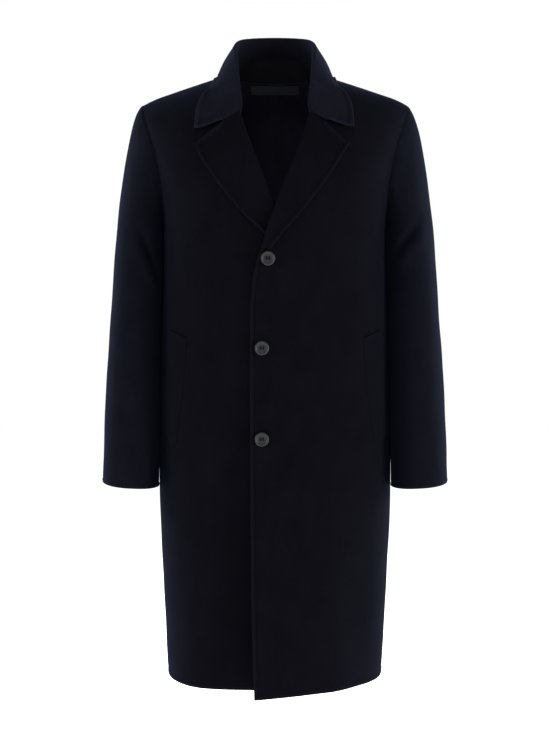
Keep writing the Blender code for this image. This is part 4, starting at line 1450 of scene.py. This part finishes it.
@dataclass
class Backs:
    """One half of the back, from the centre seam to the side seam."""

    side: Side
    cloth_width: float = 0.255
    columns: int = 58
    skirt_rows: int = 120
    chest_rows: int = 70

    def place_panel(self, u: Array, v: Array) -> Array:
        """Lays the back's grid on the form."""
        x, z = BODY.rows(
            u,
            v,
            lambda at: np.zeros(np.shape(at)),
            lambda at: ARMHOLES[Face.BACK].read("x", at),
            lambda at: np.full(np.shape(at), BODY.hem_z),
            BODY.back_top,
        )
        return BackForm(self.side).surface(x, z) + (self.side.value * HALF_GAP, HALF_GAP, 0.0)

    def build(self) -> None:
        """Makes the half back, with its felled seams and turned hem."""
        wall = ClothWall(
            name=f"cloth_back_{self.side.word}",
            place=self.place_panel,
            across=grid_lines(self.columns, self.cloth_width),
            along=panel_lines(self.skirt_rows, self.chest_rows),
            facing=(0, 1, 0),
            rims={Edge.FOOT: HEM_RIM},
            fells=(Edge.START, Edge.END),
            turn_ups={Edge.FOOT: HEM_DEPTH},
        )
        piece = wall.build(WOOL.material, WOOL_INSIDE_PAINTED_LIGHT.material)
        publish(piece, "navy_wool", f"back_{self.side.word}")


@dataclass
class Sleeves:
    """One two-piece sleeve, set into its armhole and open at the cuff."""

    side: Side
    sections: Table = Table(
        ("z", "inner", "outer", "front", "back"),
        (
            (-0.310, 0.1760, 0.2652, -0.0750, 0.0770),
            (-0.382, 0.1790, 0.2695, -0.0830, 0.0680),
            (-0.482, 0.1830, 0.2764, -0.0915, 0.0560),
            (-0.582, 0.1865, 0.2811, -0.0980, 0.0430),
            (-0.672, 0.1905, 0.2841, -0.1030, 0.0300),
        ),
    )
    square: float = 2.3
    clear: float = LAYER + 0.0006
    press: float = 0.0030
    top_z: float = -0.310
    cuff_z: float = -0.6655
    cuff_rise: float = 0.0035
    crown_angle: float = 90.0
    front_seam: float = -52.0
    back_seam: float = 226.0
    seam_half: float = 0.55
    crown_fall: float = 23.0
    underarm_fall: float = 84.0
    cap_share: float = 0.5
    cap_swell: float = 0.27
    cap_fall: float = 1.10
    cap_settle: float = 0.11
    seam_calm: float = 18.0
    cuff_calm_z: float = -0.655
    cuff_calm: float = 0.040
    cuff_depth: float = 0.038
    metres_a_degree: float = 0.00115

    @cached_property
    def creases(self) -> tuple[Crease, ...]:
        """The arm's creases, placed by degrees round the sleeve and height."""
        lists = {
            Side.RIGHT: (
                (((-12, -0.126), (-30, -0.158), (-47, -0.190)), 0.009, -0.0046),
                (((2, -0.136), (-16, -0.176), (-36, -0.222)), 0.013, 0.0028),
                (((8, -0.244), (-18, -0.286), (-46, -0.334)), 0.0075, -0.0048),
                (((12, -0.264), (-14, -0.308), (-40, -0.354)), 0.011, 0.0034),
                (((44, -0.402), (6, -0.428), (-24, -0.440)), 0.017, -0.0014),
                (((150, -0.345), (182, -0.372), (214, -0.366)), 0.012, -0.0028),
                (((148, -0.372), (182, -0.398), (214, -0.392)), 0.014, 0.0020),
                (((160, -0.420), (190, -0.440), (218, -0.428)), 0.013, -0.0018),
            ),
            Side.LEFT: (
                (((-8, -0.118), (-28, -0.148), (-46, -0.182)), 0.010, -0.0042),
                (((4, -0.132), (-14, -0.168), (-34, -0.210)), 0.013, 0.0025),
                (((32, -0.226), (0, -0.258), (-34, -0.290)), 0.0075, -0.0046),
                (((36, -0.247), (2, -0.280), (-30, -0.312)), 0.011, 0.0032),
                (((30, -0.420), (-2, -0.446), (-30, -0.452)), 0.018, -0.0012),
                (((152, -0.352), (184, -0.380), (216, -0.370)), 0.012, -0.0026),
                (((150, -0.380), (184, -0.406), (216, -0.396)), 0.014, 0.0019),
                (((164, -0.300), (192, -0.322), (216, -0.314)), 0.014, -0.0015),
            ),
        }
        scale = self.metres_a_degree
        return tuple(
            Crease(tuple((turn * scale, z) for turn, z in line), width, depth)
            for line, width, depth in lists[self.side]
        )

    @cached_property
    def armholes(self) -> dict[Face, tuple[Array, Array]]:
        """Even points of each armhole edge from the shoulder to the underarm, with the directions out."""
        found = {}
        for face, table in ARMHOLES.items():
            climb = np.linspace(1.0, 0.0, 400)
            x, z = BODY.settle(lambda at: table.read("x", at), BODY.ridge, climb)
            angle = np.where(climb > 0, BODY.angle(x, z), math.pi / 2)
            at = BODY.point(angle, z, face)
            out = BODY.normal(
                np.minimum(angle, math.pi / 2 - 0.02), np.minimum(z, BODY.ridge(x) - 1e-3), face
            )
            run = run_lengths(at)
            even = np.linspace(0.0, run[-1], 400)
            flip = (self.side.value, 1, 1)
            found[face] = along_line(at, even, run) * flip, unit(along_line(out, even, run) * flip)
        return found

    def beside_body(self, x: Array, y: Array, z: Array) -> Array:
        """Keeps sleeve points clear of the body's side, which the sleeve lies softly against."""
        square = BODY.sections.read("square", z)
        depth = np.where(y < 0, BODY.sections.read("front", z), BODY.sections.read("back", z))
        share = np.clip(np.abs(y) / depth, 0.0, 1.0)
        least = BODY.sections.read("half_width", z) * (1 - share**square) ** (1 / square) + self.clear
        return (x + least + np.sqrt((x - least) ** 2 + self.press**2)) / 2

    def ring(self, turn: Array, z: Array) -> Array:
        """Points of the arm's section: turn 0 faces the front, a quarter turn the outside."""
        inner, outer = self.sections.read("inner", z), self.sections.read("outer", z)
        front, back = self.sections.read("front", z), self.sections.read("back", z)
        s, c, power = np.sin(turn), np.cos(turn), 2 / self.square
        x = (inner + outer) / 2 + (outer - inner) / 2 * np.sign(s) * np.abs(s) ** power
        y = (front + back) / 2 - (back - front) / 2 * np.sign(c) * np.abs(c) ** power
        return points(self.beside_body(x, y, z), y, z) * (self.side.value, 1, 1)

    def head(self, turn: Array) -> tuple[Array, Array, Array]:
        """Where the sleeve leaves the armhole at each turn, in which direction, and its lift off the body."""
        from_crown = np.degrees(turn) - self.crown_angle
        share = np.abs(from_crown) / 180.0
        low = (1 - np.cos(np.radians(from_crown))) / 2
        even = np.linspace(0.0, 1.0, 400)
        before = (from_crown < 0)[:, None]
        at, out = (
            np.where(
                before,
                along_line(self.armholes[Face.FRONT][part], share, even),
                along_line(self.armholes[Face.BACK][part], share, even),
            )
            for part in (0, 1)
        )
        fall = np.radians(mix(self.crown_fall, self.underarm_fall, low))
        leave = points(self.side.value * np.cos(fall), 0.0, -np.sin(fall))
        lift = np.expand_dims(LAYER * ease(low * 1.6) + HALF_GAP, -1)
        return at + out * lift + leave * 3 * SEAM_GAP, leave, out * lift

    def placing(self, start: float, end: float) -> Place:
        """How one piece of the sleeve is laid.

        Args:
            start: Turn of its first seam, in degrees.
            end: Turn of its last seam.

        Returns:
            The function that lays its grid.
        """

        def place(u: Array, v: Array) -> Array:
            """Lays the grid: a rounded cap from the armhole, then the arm's tube to the cuff."""
            turn = np.radians(mix(start, end, u))
            cap = np.clip(v / self.cap_share, 0.0, 1.0)[:, None]
            arm = np.clip((v - self.cap_share) / (1 - self.cap_share), 0.0, 1.0)
            begin, leave, lift = self.head(turn)
            top = np.full(turn.shape, self.top_z)
            finish = self.ring(turn, top)
            down = unit(self.ring(turn, top - 0.03) - finish)
            span = np.linalg.norm(finish - begin, axis=1, keepdims=True)
            curve = (
                begin * (1 + 2 * cap) * (1 - cap) ** 2
                + leave * span * self.cap_swell * cap * (1 - cap) ** 2
                + finish * cap**2 * (3 - 2 * cap)
                + down * span * self.cap_fall * cap**2 * (cap - 1)
            )
            curve = curve - lift * (1 - ease(cap / self.cap_settle))
            cuff = self.cuff_z + self.cuff_rise * np.sin(turn)
            tube = self.ring(turn, mix(self.top_z, cuff, arm))
            at = np.where((v > self.cap_share)[:, None], tube, curve)
            return at + self.relief(turn, at)

        return place

    def relief(self, turn: Array, at: Array) -> Array:
        """Moves points out or in by the arm's creases and the cloth's unevenness."""
        degrees = np.degrees(turn)
        round_arm = degrees * self.metres_a_degree
        rise = 1.4 * wobble(round_arm * self.side.value + 0.3, at[:, 2])
        for crease in self.creases:
            rise = rise + crease.height(round_arm, at[:, 2])
        free = ease((at[:, 2] - self.cuff_calm_z) / self.cuff_calm)
        for from_seam in (degrees - self.front_seam, self.back_seam - degrees):
            free = free * ease(from_seam / self.seam_calm)
        out = points(self.side.value * np.sin(turn), -np.cos(turn), 0.0)
        return out * (rise * free)[:, None]

    def build_piece(self, top: bool, seams: tuple[float, float], width: float, columns: int) -> None:
        """Makes one piece of the sleeve.

        Args:
            top: Whether it is the upper piece.
            seams: Turns of its first and its last seam, in degrees.
            width: The cloth's width, for the spacing of the grid.
            columns: Even steps across.
        """
        name = "topsleeve" if top else "undersleeve"
        arm = self.cap_share + (1 - self.cap_share) * grid_lines(76, 0.358)
        close = (0, 0.004, 0.009, 0.016, 0.026, 0.038, 0.052, 0.068)
        cap = np.array([*close, *np.linspace(0.085, 1.0, 46)]) * self.cap_share
        wall = ClothWall(
            name=f"cloth_{name}_{self.side.word}",
            place=self.placing(*seams),
            across=grid_lines(columns, width),
            along=np.unique(np.concatenate([cap, arm[arm > self.cap_share + 0.01]])),
            facing=(self.side.value if top else -self.side.value, 0, 0),
            rims={Edge.TOP: Rim(inset=0.0075)},
            fells=(Edge.START, Edge.END),
            ropes=(Edge.FOOT,) if top else (),
            turn_ups={Edge.TOP: self.cuff_depth},
        )
        piece = wall.build(WOOL_ARM_PAINTED_LIGHT.material, WOOL_INSIDE_PAINTED_LIGHT.material)
        publish(piece, "navy_wool", f"{name}_{self.side.word}")

    def build(self) -> None:
        """Makes the upper and the under piece."""
        first, last, half = self.front_seam, self.back_seam, self.seam_half
        self.build_piece(True, (first + half, last - half), 0.30, 96)
        self.build_piece(False, (first - half, last - 360 + half), 0.085, 34)


@dataclass
class Collar:
    """The collar's stand, and its leaf that rises from the stand and falls over the roll."""

    stations: tuple[tuple[float, ...], ...] = (
        (0.000, 0.0000, 0.0770, 0.0670, 0.0000, 0.1000, -0.0200),
        (0.130, 0.0350, 0.0690, 0.0655, 0.0450, 0.0940, -0.0175),
        (0.250, 0.0550, 0.0470, 0.0605, 0.0775, 0.0660, -0.0115),
        (0.360, 0.0622, 0.0180, 0.0495, 0.0930, 0.0330, -0.0050),
        (0.480, 0.0617, -0.0120, 0.0335, 0.0965, 0.0000, -0.0040),
        (0.600, 0.0606, -0.0380, 0.0110, 0.0988, -0.0320, -0.0085),
        (0.700, 0.0594, -0.0640, -0.0110, 0.1045, -0.0600, -0.0180),
        (0.820, 0.0574, -0.0890, -0.0330, 0.1165, -0.0830, -0.0350),
        (0.920, 0.0552, -0.1080, -0.0490, 0.1240, -0.1050, -0.0600),
        (1.000, 0.0525, -0.1200, -0.0610, 0.1250, -0.1240, -0.0880),
    )
    left_tip: tuple[float, float] = (-0.0010, 0.0010)
    right_tip: tuple[float, float] = (0.0020, -0.0020)
    roll_back: float = 0.0036
    bulge: float = 0.0050
    stand_share: float = 0.52
    stand_reach: float = 0.82
    foot: float = 0.0023
    stand_end: float = 2 / 11
    roll_end: float = 5 / 11

    @cached_property
    def front(self) -> FrontForm:
        """The left front, which the collar's end meets at the gorge."""
        return FrontForm(Side.LEFT)

    @cached_property
    def table(self) -> Table:
        """The stations, mirrored past the centre back and ending exactly on the lapel's roll."""
        at, onward = self.front.roll(np.array(1.0))[:2]
        end = at + onward * self.front.roll_gap
        neck, roll_x, roll_y, roll_z, edge_x, edge_y, edge_z = self.stations[1]
        before = (-neck, -roll_x, roll_y, roll_z, -edge_x, edge_y, edge_z)
        last = (1.0, *(float(c) for c in end), *self.stations[-1][4:])
        names = ("neck", "roll_x", "roll_y", "roll_z", "edge_x", "edge_y", "edge_z")
        return Table(names, (before, *self.stations[:-1], last))

    @cached_property
    def neck_line(self) -> Array:
        """The left neck edge, from the centre back over the neck point to the gorge."""
        back_x = np.linspace(0.0, BODY.neck_half_width, 200)
        back = BackForm(Side.LEFT).surface(back_x, BODY.back_top(back_x))
        x, z = BODY.settle(self.front.edge, BODY.ridge, np.linspace(1.0, 0.0, 900))
        keep = z >= self.front.gorge_z
        return np.concatenate([back, self.front.surface(x[keep], z[keep])[1:]])

    def neck(self, share: Array) -> Array:
        """Points of the neck edge at shares of its length."""
        run = run_lengths(self.neck_line)
        return along_line(self.neck_line, share * run[-1], run)

    def roll(self, station: Array) -> Array:
        """Points of the collar's roll."""
        return points(*(self.table.read(f"roll_{axis}", station) for axis in "xyz"))

    @staticmethod
    def lifted_clear(at: Array, lift: Array) -> Array:
        """Moves points that lie within a distance of the body's form softly out to that distance."""
        for _ in range(3):
            x, y, z = at[:, 0], at[:, 1], at[:, 2]
            facing = np.where(y < 0, Face.FRONT.value, Face.BACK.value)
            for face in Face:
                low = np.minimum(z, BODY.ridge(x) - 1e-4)
                angle = BODY.angle(np.abs(x), low)
                on, out = BODY.point(angle, low, face), BODY.normal(angle, low, face)
                away = ((np.stack([np.abs(x), y, z], axis=1) - on) * out).sum(axis=1)
                short = np.where((facing == face.value) & (away < lift), lift - away, 0.0)
                at = at + out * (np.sign(x) + (x == 0))[:, None] ** np.array([1, 0, 0]) * short[:, None]
        return at

    def place(self, u: Array, v: Array, is_leaf: bool) -> Array:
        """Lays the stand's or the leaf's grid.

        Args:
            u: Shares up the stand, or from the stand over the roll to the leaf's edge.
            v: Shares from the right end to the left one.
            is_leaf: Whether it is the leaf.

        Returns:
            The points.
        """
        side = np.where(v < 0.5, -1.0, 1.0)
        station = np.abs(2 * v - 1) * (1.0 if is_leaf else self.stand_reach)
        neck, roll = self.neck(station), self.roll(station)
        edge = points(*(self.table.read(f"edge_{axis}", station) for axis in "xyz"))
        tip_x, tip_z = (np.where(v < 0.5, r, l) for r, l in zip(self.right_tip, self.left_tip))
        edge = edge + points(tip_x, 0.0, tip_z) * (station**4)[:, None]
        along = unit(self.roll(np.minimum(station + 0.01, 1.0)) - self.roll(np.maximum(station - 0.01, 0.0)))
        rise = unit(roll - neck)
        out = unit(np.cross(rise, along))
        rise = unit(np.cross(along, out))
        flip = points(side, 1.0, 1.0)
        foot = neck + rise * self.foot
        up_to = self.stand_share * (1 - 0.92 * ease((station - 0.4) / 0.5))
        joint = mix(foot, roll, up_to[:, None])
        if not is_leaf:
            return mix(foot, joint - rise * SEAM_GAP, u[:, None]) * flip
        radius = mix(self.roll_back, self.front.roll_radius, station)[:, None]
        stand = mix(joint + rise * SEAM_GAP, roll, np.clip(u / self.stand_end, 0.0, 1.0)[:, None])
        turn = np.pi * np.clip((u - self.stand_end) / (self.roll_end - self.stand_end), 0.0, 1.0)[:, None]
        fold = roll + out * radius * (1 - np.cos(turn)) + rise * radius * np.sin(turn)
        q = np.clip((u - self.roll_end) / (1 - self.roll_end), 0.0, 1.0)
        swell = np.sin(np.pi * q)[:, None] * out * (self.bulge * (1 - station**2))[:, None]
        leaf = mix(roll + out * 2 * radius, edge, q[:, None]) + swell
        dip = station**10 * np.interp(q, [0.0, NOTCH_SHARE, 1.0], [0.0, 1.0, 0.0])
        gorge = mix(self.front.gorge_z, self.stations[-1][-1], NOTCH_SHARE) - NOTCHES[Side.LEFT][1]
        leaf = leaf - points(0.0, 0.0, dip * (gorge - SEAM_GAP))
        clear = mix(LAYER, 2 * self.front.roll_radius, ease((station - 0.5) / 0.4))
        leaf = self.lifted_clear(leaf, clear)
        over = np.where((u < self.roll_end)[:, None], fold, leaf)
        return np.where((u < self.stand_end)[:, None], stand, over) * flip

    def build_stand(self) -> None:
        """Makes the stand, sewn to the neck."""
        wall = ClothWall(
            name="cloth_collar_stand",
            place=lambda u, v: self.place(u, v, False),
            across=grid_lines(6, 0.030),
            along=grid_lines(110, 0.42),
            facing=(0, -1, 0),
        )
        piece = wall.build(WOOL_NECK_PAINTED_LIGHT.material, WOOL_NECK_PAINTED_LIGHT.material)
        publish(piece, "navy_wool", "collar_stand")

    def build_leaf(self) -> None:
        """Makes the leaf, with its turned edge and its pick stitches."""
        edge_lines = grid_lines(36, 0.085)
        leaf = self.roll_end + (1 - self.roll_end) * edge_lines[edge_lines > 0.02]
        stand = self.stand_end * np.array([0.0, 0.006, 0.02, 0.05, *np.linspace(0.1, 1.0, 7)])
        roll = mix(self.stand_end, self.roll_end, np.linspace(0.06, 1.0, 16))
        end_rim = Rim(lift=EDGE_LIFT, weight=free_past(mix(self.roll_end, 1.0, NOTCH_SHARE)))

        def in_front(v: Array) -> Array:
            """The collar's edge stands off in front of the shoulders and lies down over them."""
            return mix(-0.5, 1.0, ease((np.abs(2 * v - 1) - 0.66) / 0.2))

        wall = ClothWall(
            name="cloth_collar_leaf",
            place=lambda u, v: self.place(u, v, True),
            across=np.concatenate([stand, roll, leaf]),
            along=grid_lines(150, 0.52),
            facing=(0, 1, 0),
            rims={
                Edge.END: Rim(lift=EDGE_LIFT, lifted=in_front),
                Edge.FOOT: end_rim,
                Edge.TOP: end_rim,
            },
            tuck=GORGE_TUCK,
        )
        piece = wall.build(WOOL_COLLAR_PAINTED_LIGHT.material, WOOL_COLLAR_PAINTED_LIGHT.material)
        publish(piece, "navy_wool", "collar_leaf")
        stitches = PickStitches().build("stitches_collar", wall.line(Edge.END, STITCH_INSET))
        publish(stitches, "navy_wool")

    def build(self) -> None:
        """Makes the stand and the leaf."""
        self.build_stand()
        self.build_leaf()


@dataclass
class NeckLabel:
    """A bare woven label, sewn inside the back of the neck at its two ends."""

    half_width: float = 0.0415
    top_z: float = -0.0066
    height: float = 0.0140
    cloth: float = 0.0010
    gap: float = 0.0015

    def place(self, u: Array, v: Array) -> Array:
        """Lays the label's grid inside the back."""
        x = mix(-self.half_width, self.half_width, u)
        z = mix(self.top_z - self.height, self.top_z, v)
        inside = -((CLOTH + self.cloth) / 2 + self.gap)
        flip = points(np.where(x < 0, -1.0, 1.0), 1.0, 1.0)
        return BackForm(Side.LEFT).surface(np.abs(x), z, inside) * flip

    def build(self) -> None:
        """Makes the label and the stitches at its ends."""
        ends = (Edge.START, Edge.END)
        wall = ClothWall(
            name="cloth_neck_label",
            place=self.place,
            across=grid_lines(40, 2 * self.half_width),
            along=grid_lines(8, 0.0215),
            facing=(0, -1, 0),
            thickness=self.cloth,
            rims=dict.fromkeys(ends, Rim(inset=0.0018, puff=0.00012, groove=0.0001)),
            lip=0.0004,
            tuck=0.0,
        )
        piece = wall.build(SATIN.material, SATIN.material)
        publish(piece, "label_satin", "neck_label")
        rows = [wall.line(edge, 0.0016) for edge in ends]
        small = PickStitches(spacing=0.0021, length=0.0016, radius=0.00022)
        tacks = small.build("stitches_label", *rows)
        publish(tacks, "label_satin")


@dataclass
class Buttons:
    """The three dished four-hole buttons of the front, with their thread."""

    spots: dict[str, tuple[float, float]] = field(
        default_factory=lambda: {
            "button_top": (-0.0110, -0.2903),
            "button_middle": (-0.0205, -0.4323),
            "button_bottom": (-0.0206, -0.5773),
        }
    )
    radius: float = 0.0114
    thickness: float = 0.0042
    rim: float = 0.0020
    dish: float = 0.0012
    hole_radius: float = 0.0010
    hole_spacing: float = 0.0021
    thread_radius: float = 0.00080
    strand_radius: float = 0.62 * thread_radius
    strand_sides: int = 8
    # Each strand's place aside and above, in the thread's radius
    strands: tuple[tuple[float, float], ...] = ((-0.95, 0.0), (0.0, 0.2), (0.95, 0.0))
    sides: int = 72

    def profile(self) -> list[tuple[float, float]]:
        """The button's half section, from the middle of its face round to the middle of its back."""
        floor, top = self.thickness - self.dish, self.thickness
        inner, crest = self.radius - 2 * self.rim, self.radius - self.rim
        slope = [(mix(inner, crest, t), mix(floor, top, float(ease(t)))) for t in np.linspace(0.0, 1.0, 7)]
        turn = np.linspace(0.0, math.pi / 2, 7)
        lip = [(crest + self.rim * math.sin(t), top / 2 + top / 2 * math.cos(t)) for t in turn[1:]]
        under = [(self.radius * r, top * h) for r, h in ((0.93, 0.28), (0.80, 0.10), (0.62, 0.0))]
        middle = [(0.0, floor), (inner * 0.35, floor), (inner * 0.7, floor - 0.00005)]
        return [(float(r), float(h)) for r, h in (*middle, *slope, *lip, *under, (0.0, 0.0))]

    def turned(self, name: str) -> bpy.types.Mesh:
        """The button turned about +Z, its back on z = 0, without holes."""
        blank = bmesh.new()
        line = [blank.verts.new((r, 0.0, h)) for r, h in self.profile()]
        edges = [blank.edges.new(pair) for pair in zip(line, line[1:])]
        bmesh.ops.spin(
            blank,
            geom=line + edges,
            axis=(0, 0, 1),
            cent=(0, 0, 0),
            angle=2 * math.pi,
            steps=self.sides,
            use_merge=True,
        )
        bmesh.ops.remove_doubles(blank, verts=blank.verts, dist=1e-6)
        bmesh.ops.recalc_face_normals(blank, faces=blank.faces)
        return add_mesh(name, blank)

    def pins(self) -> bpy.types.Object:
        """Four pins that cut the sewing holes."""
        pins = bmesh.new()
        for across in (-1, 1):
            for up in (-1, 1):
                spot = Matrix.Translation((across * self.hole_spacing, up * self.hole_spacing, 0.0))
                bmesh.ops.create_cone(
                    pins,
                    cap_ends=True,
                    segments=20,
                    radius1=self.hole_radius,
                    radius2=self.hole_radius,
                    depth=4 * self.thickness,
                    matrix=spot,
                )
        return add_object("sewing_holes", add_mesh("sewing_holes", pins))

    def drilled(self, name: str) -> bpy.types.Mesh:
        """The turned button with its four holes cut."""
        blank, cutter = add_object(f"{name}_blank", self.turned(name)), self.pins()
        cut = blank.modifiers.new("holes", "BOOLEAN")
        cut.operation, cut.object, cut.solver = "DIFFERENCE", cutter, "EXACT"
        graph = bpy.context.evaluated_depsgraph_get()
        mesh = bpy.data.meshes.new_from_object(blank.evaluated_get(graph))
        bpy.data.objects.remove(blank)
        bpy.data.objects.remove(cutter)
        mesh.name = name
        mesh.materials.clear()
        mesh.materials.append(HORN.material)
        mesh.shade_smooth()
        mesh.set_sharp_from_angle(angle=math.radians(38))
        return mesh

    def strand_path(self, rise: float) -> list[tuple[float, float]]:
        """A strand's path up a hole, over the button's floor by a rise, and down the next hole."""
        floor, s = self.thickness - self.dish, self.hole_spacing
        lift = floor + rise
        half = [(s, 0.0), (s, floor - 0.0006), (s * 0.9, lift - 0.0002), (s * 0.5, lift)]
        return [*((-y, z) for y, z in half), (0.0, lift + 0.00012), *half[::-1]]

    def thread_mesh(self, name: str) -> bpy.types.Mesh:
        """Two bars of wound thread, each over a pair of holes and down through both."""
        bars = bmesh.new()
        for across in (-1, 1):
            for aside, above in self.strands:
                x = across * self.hole_spacing + aside * self.thread_radius
                path = self.strand_path(self.thread_radius * (0.75 + above * 1.6))
                rings = []
                for k, (y, z) in enumerate(path):
                    y0, z0 = path[max(k - 1, 0)]
                    y1, z1 = path[min(k + 1, len(path) - 1)]
                    ahead = Vector((0.0, y1 - y0, z1 - z0)).normalized()
                    right = Vector((1.0, 0.0, 0.0))
                    up = right.cross(ahead)
                    ring = []
                    for a in np.linspace(0, 2 * np.pi, self.strand_sides, endpoint=False):
                        offset = (right * math.cos(a) + up * math.sin(a)) * self.strand_radius
                        ring.append(bars.verts.new(Vector((x, y, z)) + offset))
                    rings.append(ring)
                for a, b in zip(rings, rings[1:]):
                    for k in range(self.strand_sides):
                        after = (k + 1) % self.strand_sides
                        bars.faces.new((a[k], a[after], b[after], b[k]))
                bars.faces.new(rings[0][::-1])
                bars.faces.new(rings[-1])
        bmesh.ops.recalc_face_normals(bars, faces=bars.faces)
        mesh = add_mesh(name, bars)
        mesh.materials.append(THREAD.material)
        mesh.shade_smooth()
        return mesh

    def seat(self, x: float, z: float) -> Matrix:
        """Where a button sits: flat on the left front, just off the cloth under its widest part.

        Args:
            x: Its place across.
            z: Its height.

        Returns:
            The button's place and direction.
        """
        form, reach = FrontForm(Side.LEFT), self.radius
        around = np.array([(x + dx, z + dz) for dx in (-reach, 0, reach) for dz in (-reach, 0, reach)])
        at, out = form.surface(np.array(x), np.array(z)), form.normal(np.array(x), np.array(z))
        rise = ((form.surface(around[:, 0], around[:, 1]) - at) @ out).max()
        foot = at + out * (max(float(rise), 0.0) + CLOTH / 2 + 2 * SEAM_GAP)
        return Matrix.Translation(Vector(foot)) @ Vector(out).to_track_quat("Z", "Y").to_matrix().to_4x4()

    def build(self) -> None:
        """Makes each button and its thread in the place of its solid."""
        for name, (x, z) in self.spots.items():
            seat = self.seat(x, z)
            button = add_object(f"horn_{name}", self.drilled(f"horn_{name}"))
            thread = add_object(f"thread_{name}", self.thread_mesh(f"thread_{name}"))
            for piece in (button, thread):
                piece.data.transform(seat)
            publish(button, "dark_horn", name)
            publish(thread, "navy_wool")


@dataclass(frozen=True)
class Lamp:
    """A round, soft lamp that faces the coat."""

    name: str
    spot: tuple[float, float, float]
    size: float
    power: float
    colour: tuple[float, float, float]

    def build(self, aim: tuple[float, float, float]) -> None:
        """Hangs the lamp, turned to a point and out of the camera's sight."""
        light = bpy.data.lights.new(self.name, "AREA")
        light.shape, light.size, light.energy, light.color = "DISK", self.size, self.power, self.colour
        lamp = add_object(self.name, light)
        lamp.location = self.spot
        lamp.rotation_euler = (Vector(aim) - Vector(self.spot)).to_track_quat("-Z", "Y").to_euler()
        lamp.visible_camera = False


@dataclass
class Studio:
    """The pale floor, the soft light and the camera."""

    floor_z: float = -1.50
    floor_size: float = 14.0
    camera_place: tuple[float, float, float] = (0.0, -3.0, -0.196)
    camera_tilt: float = 84.57
    focal_pixels: float = 1807.0
    image_height: float = 739.0
    sensor: float = 36.0
    surround: float = 0.18
    aim: tuple[float, float, float] = (0.0, 0.0, -0.45)
    lamps: tuple[Lamp, ...] = (
        Lamp("front", (-0.6, -3.4, 3.6), 1.2, 45.0, (1.0, 0.97, 0.93)),
        Lamp("key", (4.5, -1.9, 0.2), 1.8, 190.0, (0.95, 0.99, 1.0)),
        Lamp("fill", (-4.6, -1.2, 0.4), 2.2, 148.0, (0.92, 0.98, 1.0)),
        Lamp("top", (0.6, 0.8, 2.5), 1.6, 30.0, (0.80, 0.91, 1.0)),
        Lamp("back", (0.5, 3.4, 0.8), 2.6, 50.0, (1.0, 0.99, 0.98)),
        Lamp("rim_left", (2.1, 1.2, 0.0), 1.6, 88.0, (0.76, 0.87, 1.0)),
        Lamp("rim_right", (-2.0, 1.3, 0.5), 1.6, 95.0, (0.76, 0.87, 1.0)),
    )

    def build_floor(self) -> None:
        """Lays a large pale floor."""
        sheet = bmesh.new()
        bmesh.ops.create_grid(sheet, x_segments=8, y_segments=8, size=self.floor_size / 2)
        bmesh.ops.translate(sheet, verts=sheet.verts, vec=(0.0, 0.0, self.floor_z))
        mesh = add_mesh("floor", sheet)
        mesh.materials.append(FLOOR.material)
        add_object("floor", mesh)

    def build_light(self) -> None:
        """Sets a white surround and large soft lamps."""
        surround = bpy.data.worlds.new("studio")
        surround.use_nodes = True
        sky = surround.node_tree.nodes["Background"]
        sky.inputs["Color"].default_value = (1.0, 1.0, 1.0, 1.0)
        board = NodeBoard(surround.node_tree)
        seen = board.add("ShaderNodeLightPath").outputs["Is Camera Ray"]
        strength = board.add("ShaderNodeMapRange", socket_To_Min=self.surround, socket_To_Max=1.0)
        board.join(seen, strength.inputs["Value"])
        board.join(strength.outputs["Result"], sky.inputs["Strength"])
        bpy.context.scene.world = surround
        for lamp in self.lamps:
            lamp.build(self.aim)

    def build_camera(self) -> None:
        """Stands the camera where the photograph was taken from."""
        lens = bpy.data.cameras.new("camera")
        lens.sensor_width = self.sensor
        lens.lens = self.sensor * self.focal_pixels / self.image_height
        camera = add_object("camera", lens)
        camera.location = self.camera_place
        camera.rotation_euler = (math.radians(self.camera_tilt), 0.0, 0.0)
        bpy.context.scene.camera = camera
        bpy.context.scene.view_settings.view_transform = "Standard"

    def build(self) -> None:
        """Makes the whole studio."""
        self.build_floor()
        self.build_light()
        self.build_camera()


def main() -> None:
    """Builds the coat's pieces in the order that they are sewn, then the studio."""
    logging.basicConfig(level=logging.INFO, format="%(name)s %(message)s")
    for side in Side:
        Fronts(side).build()
        Backs(side).build()
        Sleeves(side).build()
    Collar().build()
    NeckLabel().build()
    Buttons().build()
    Studio().build()


if __name__ == "__main__":
    main()
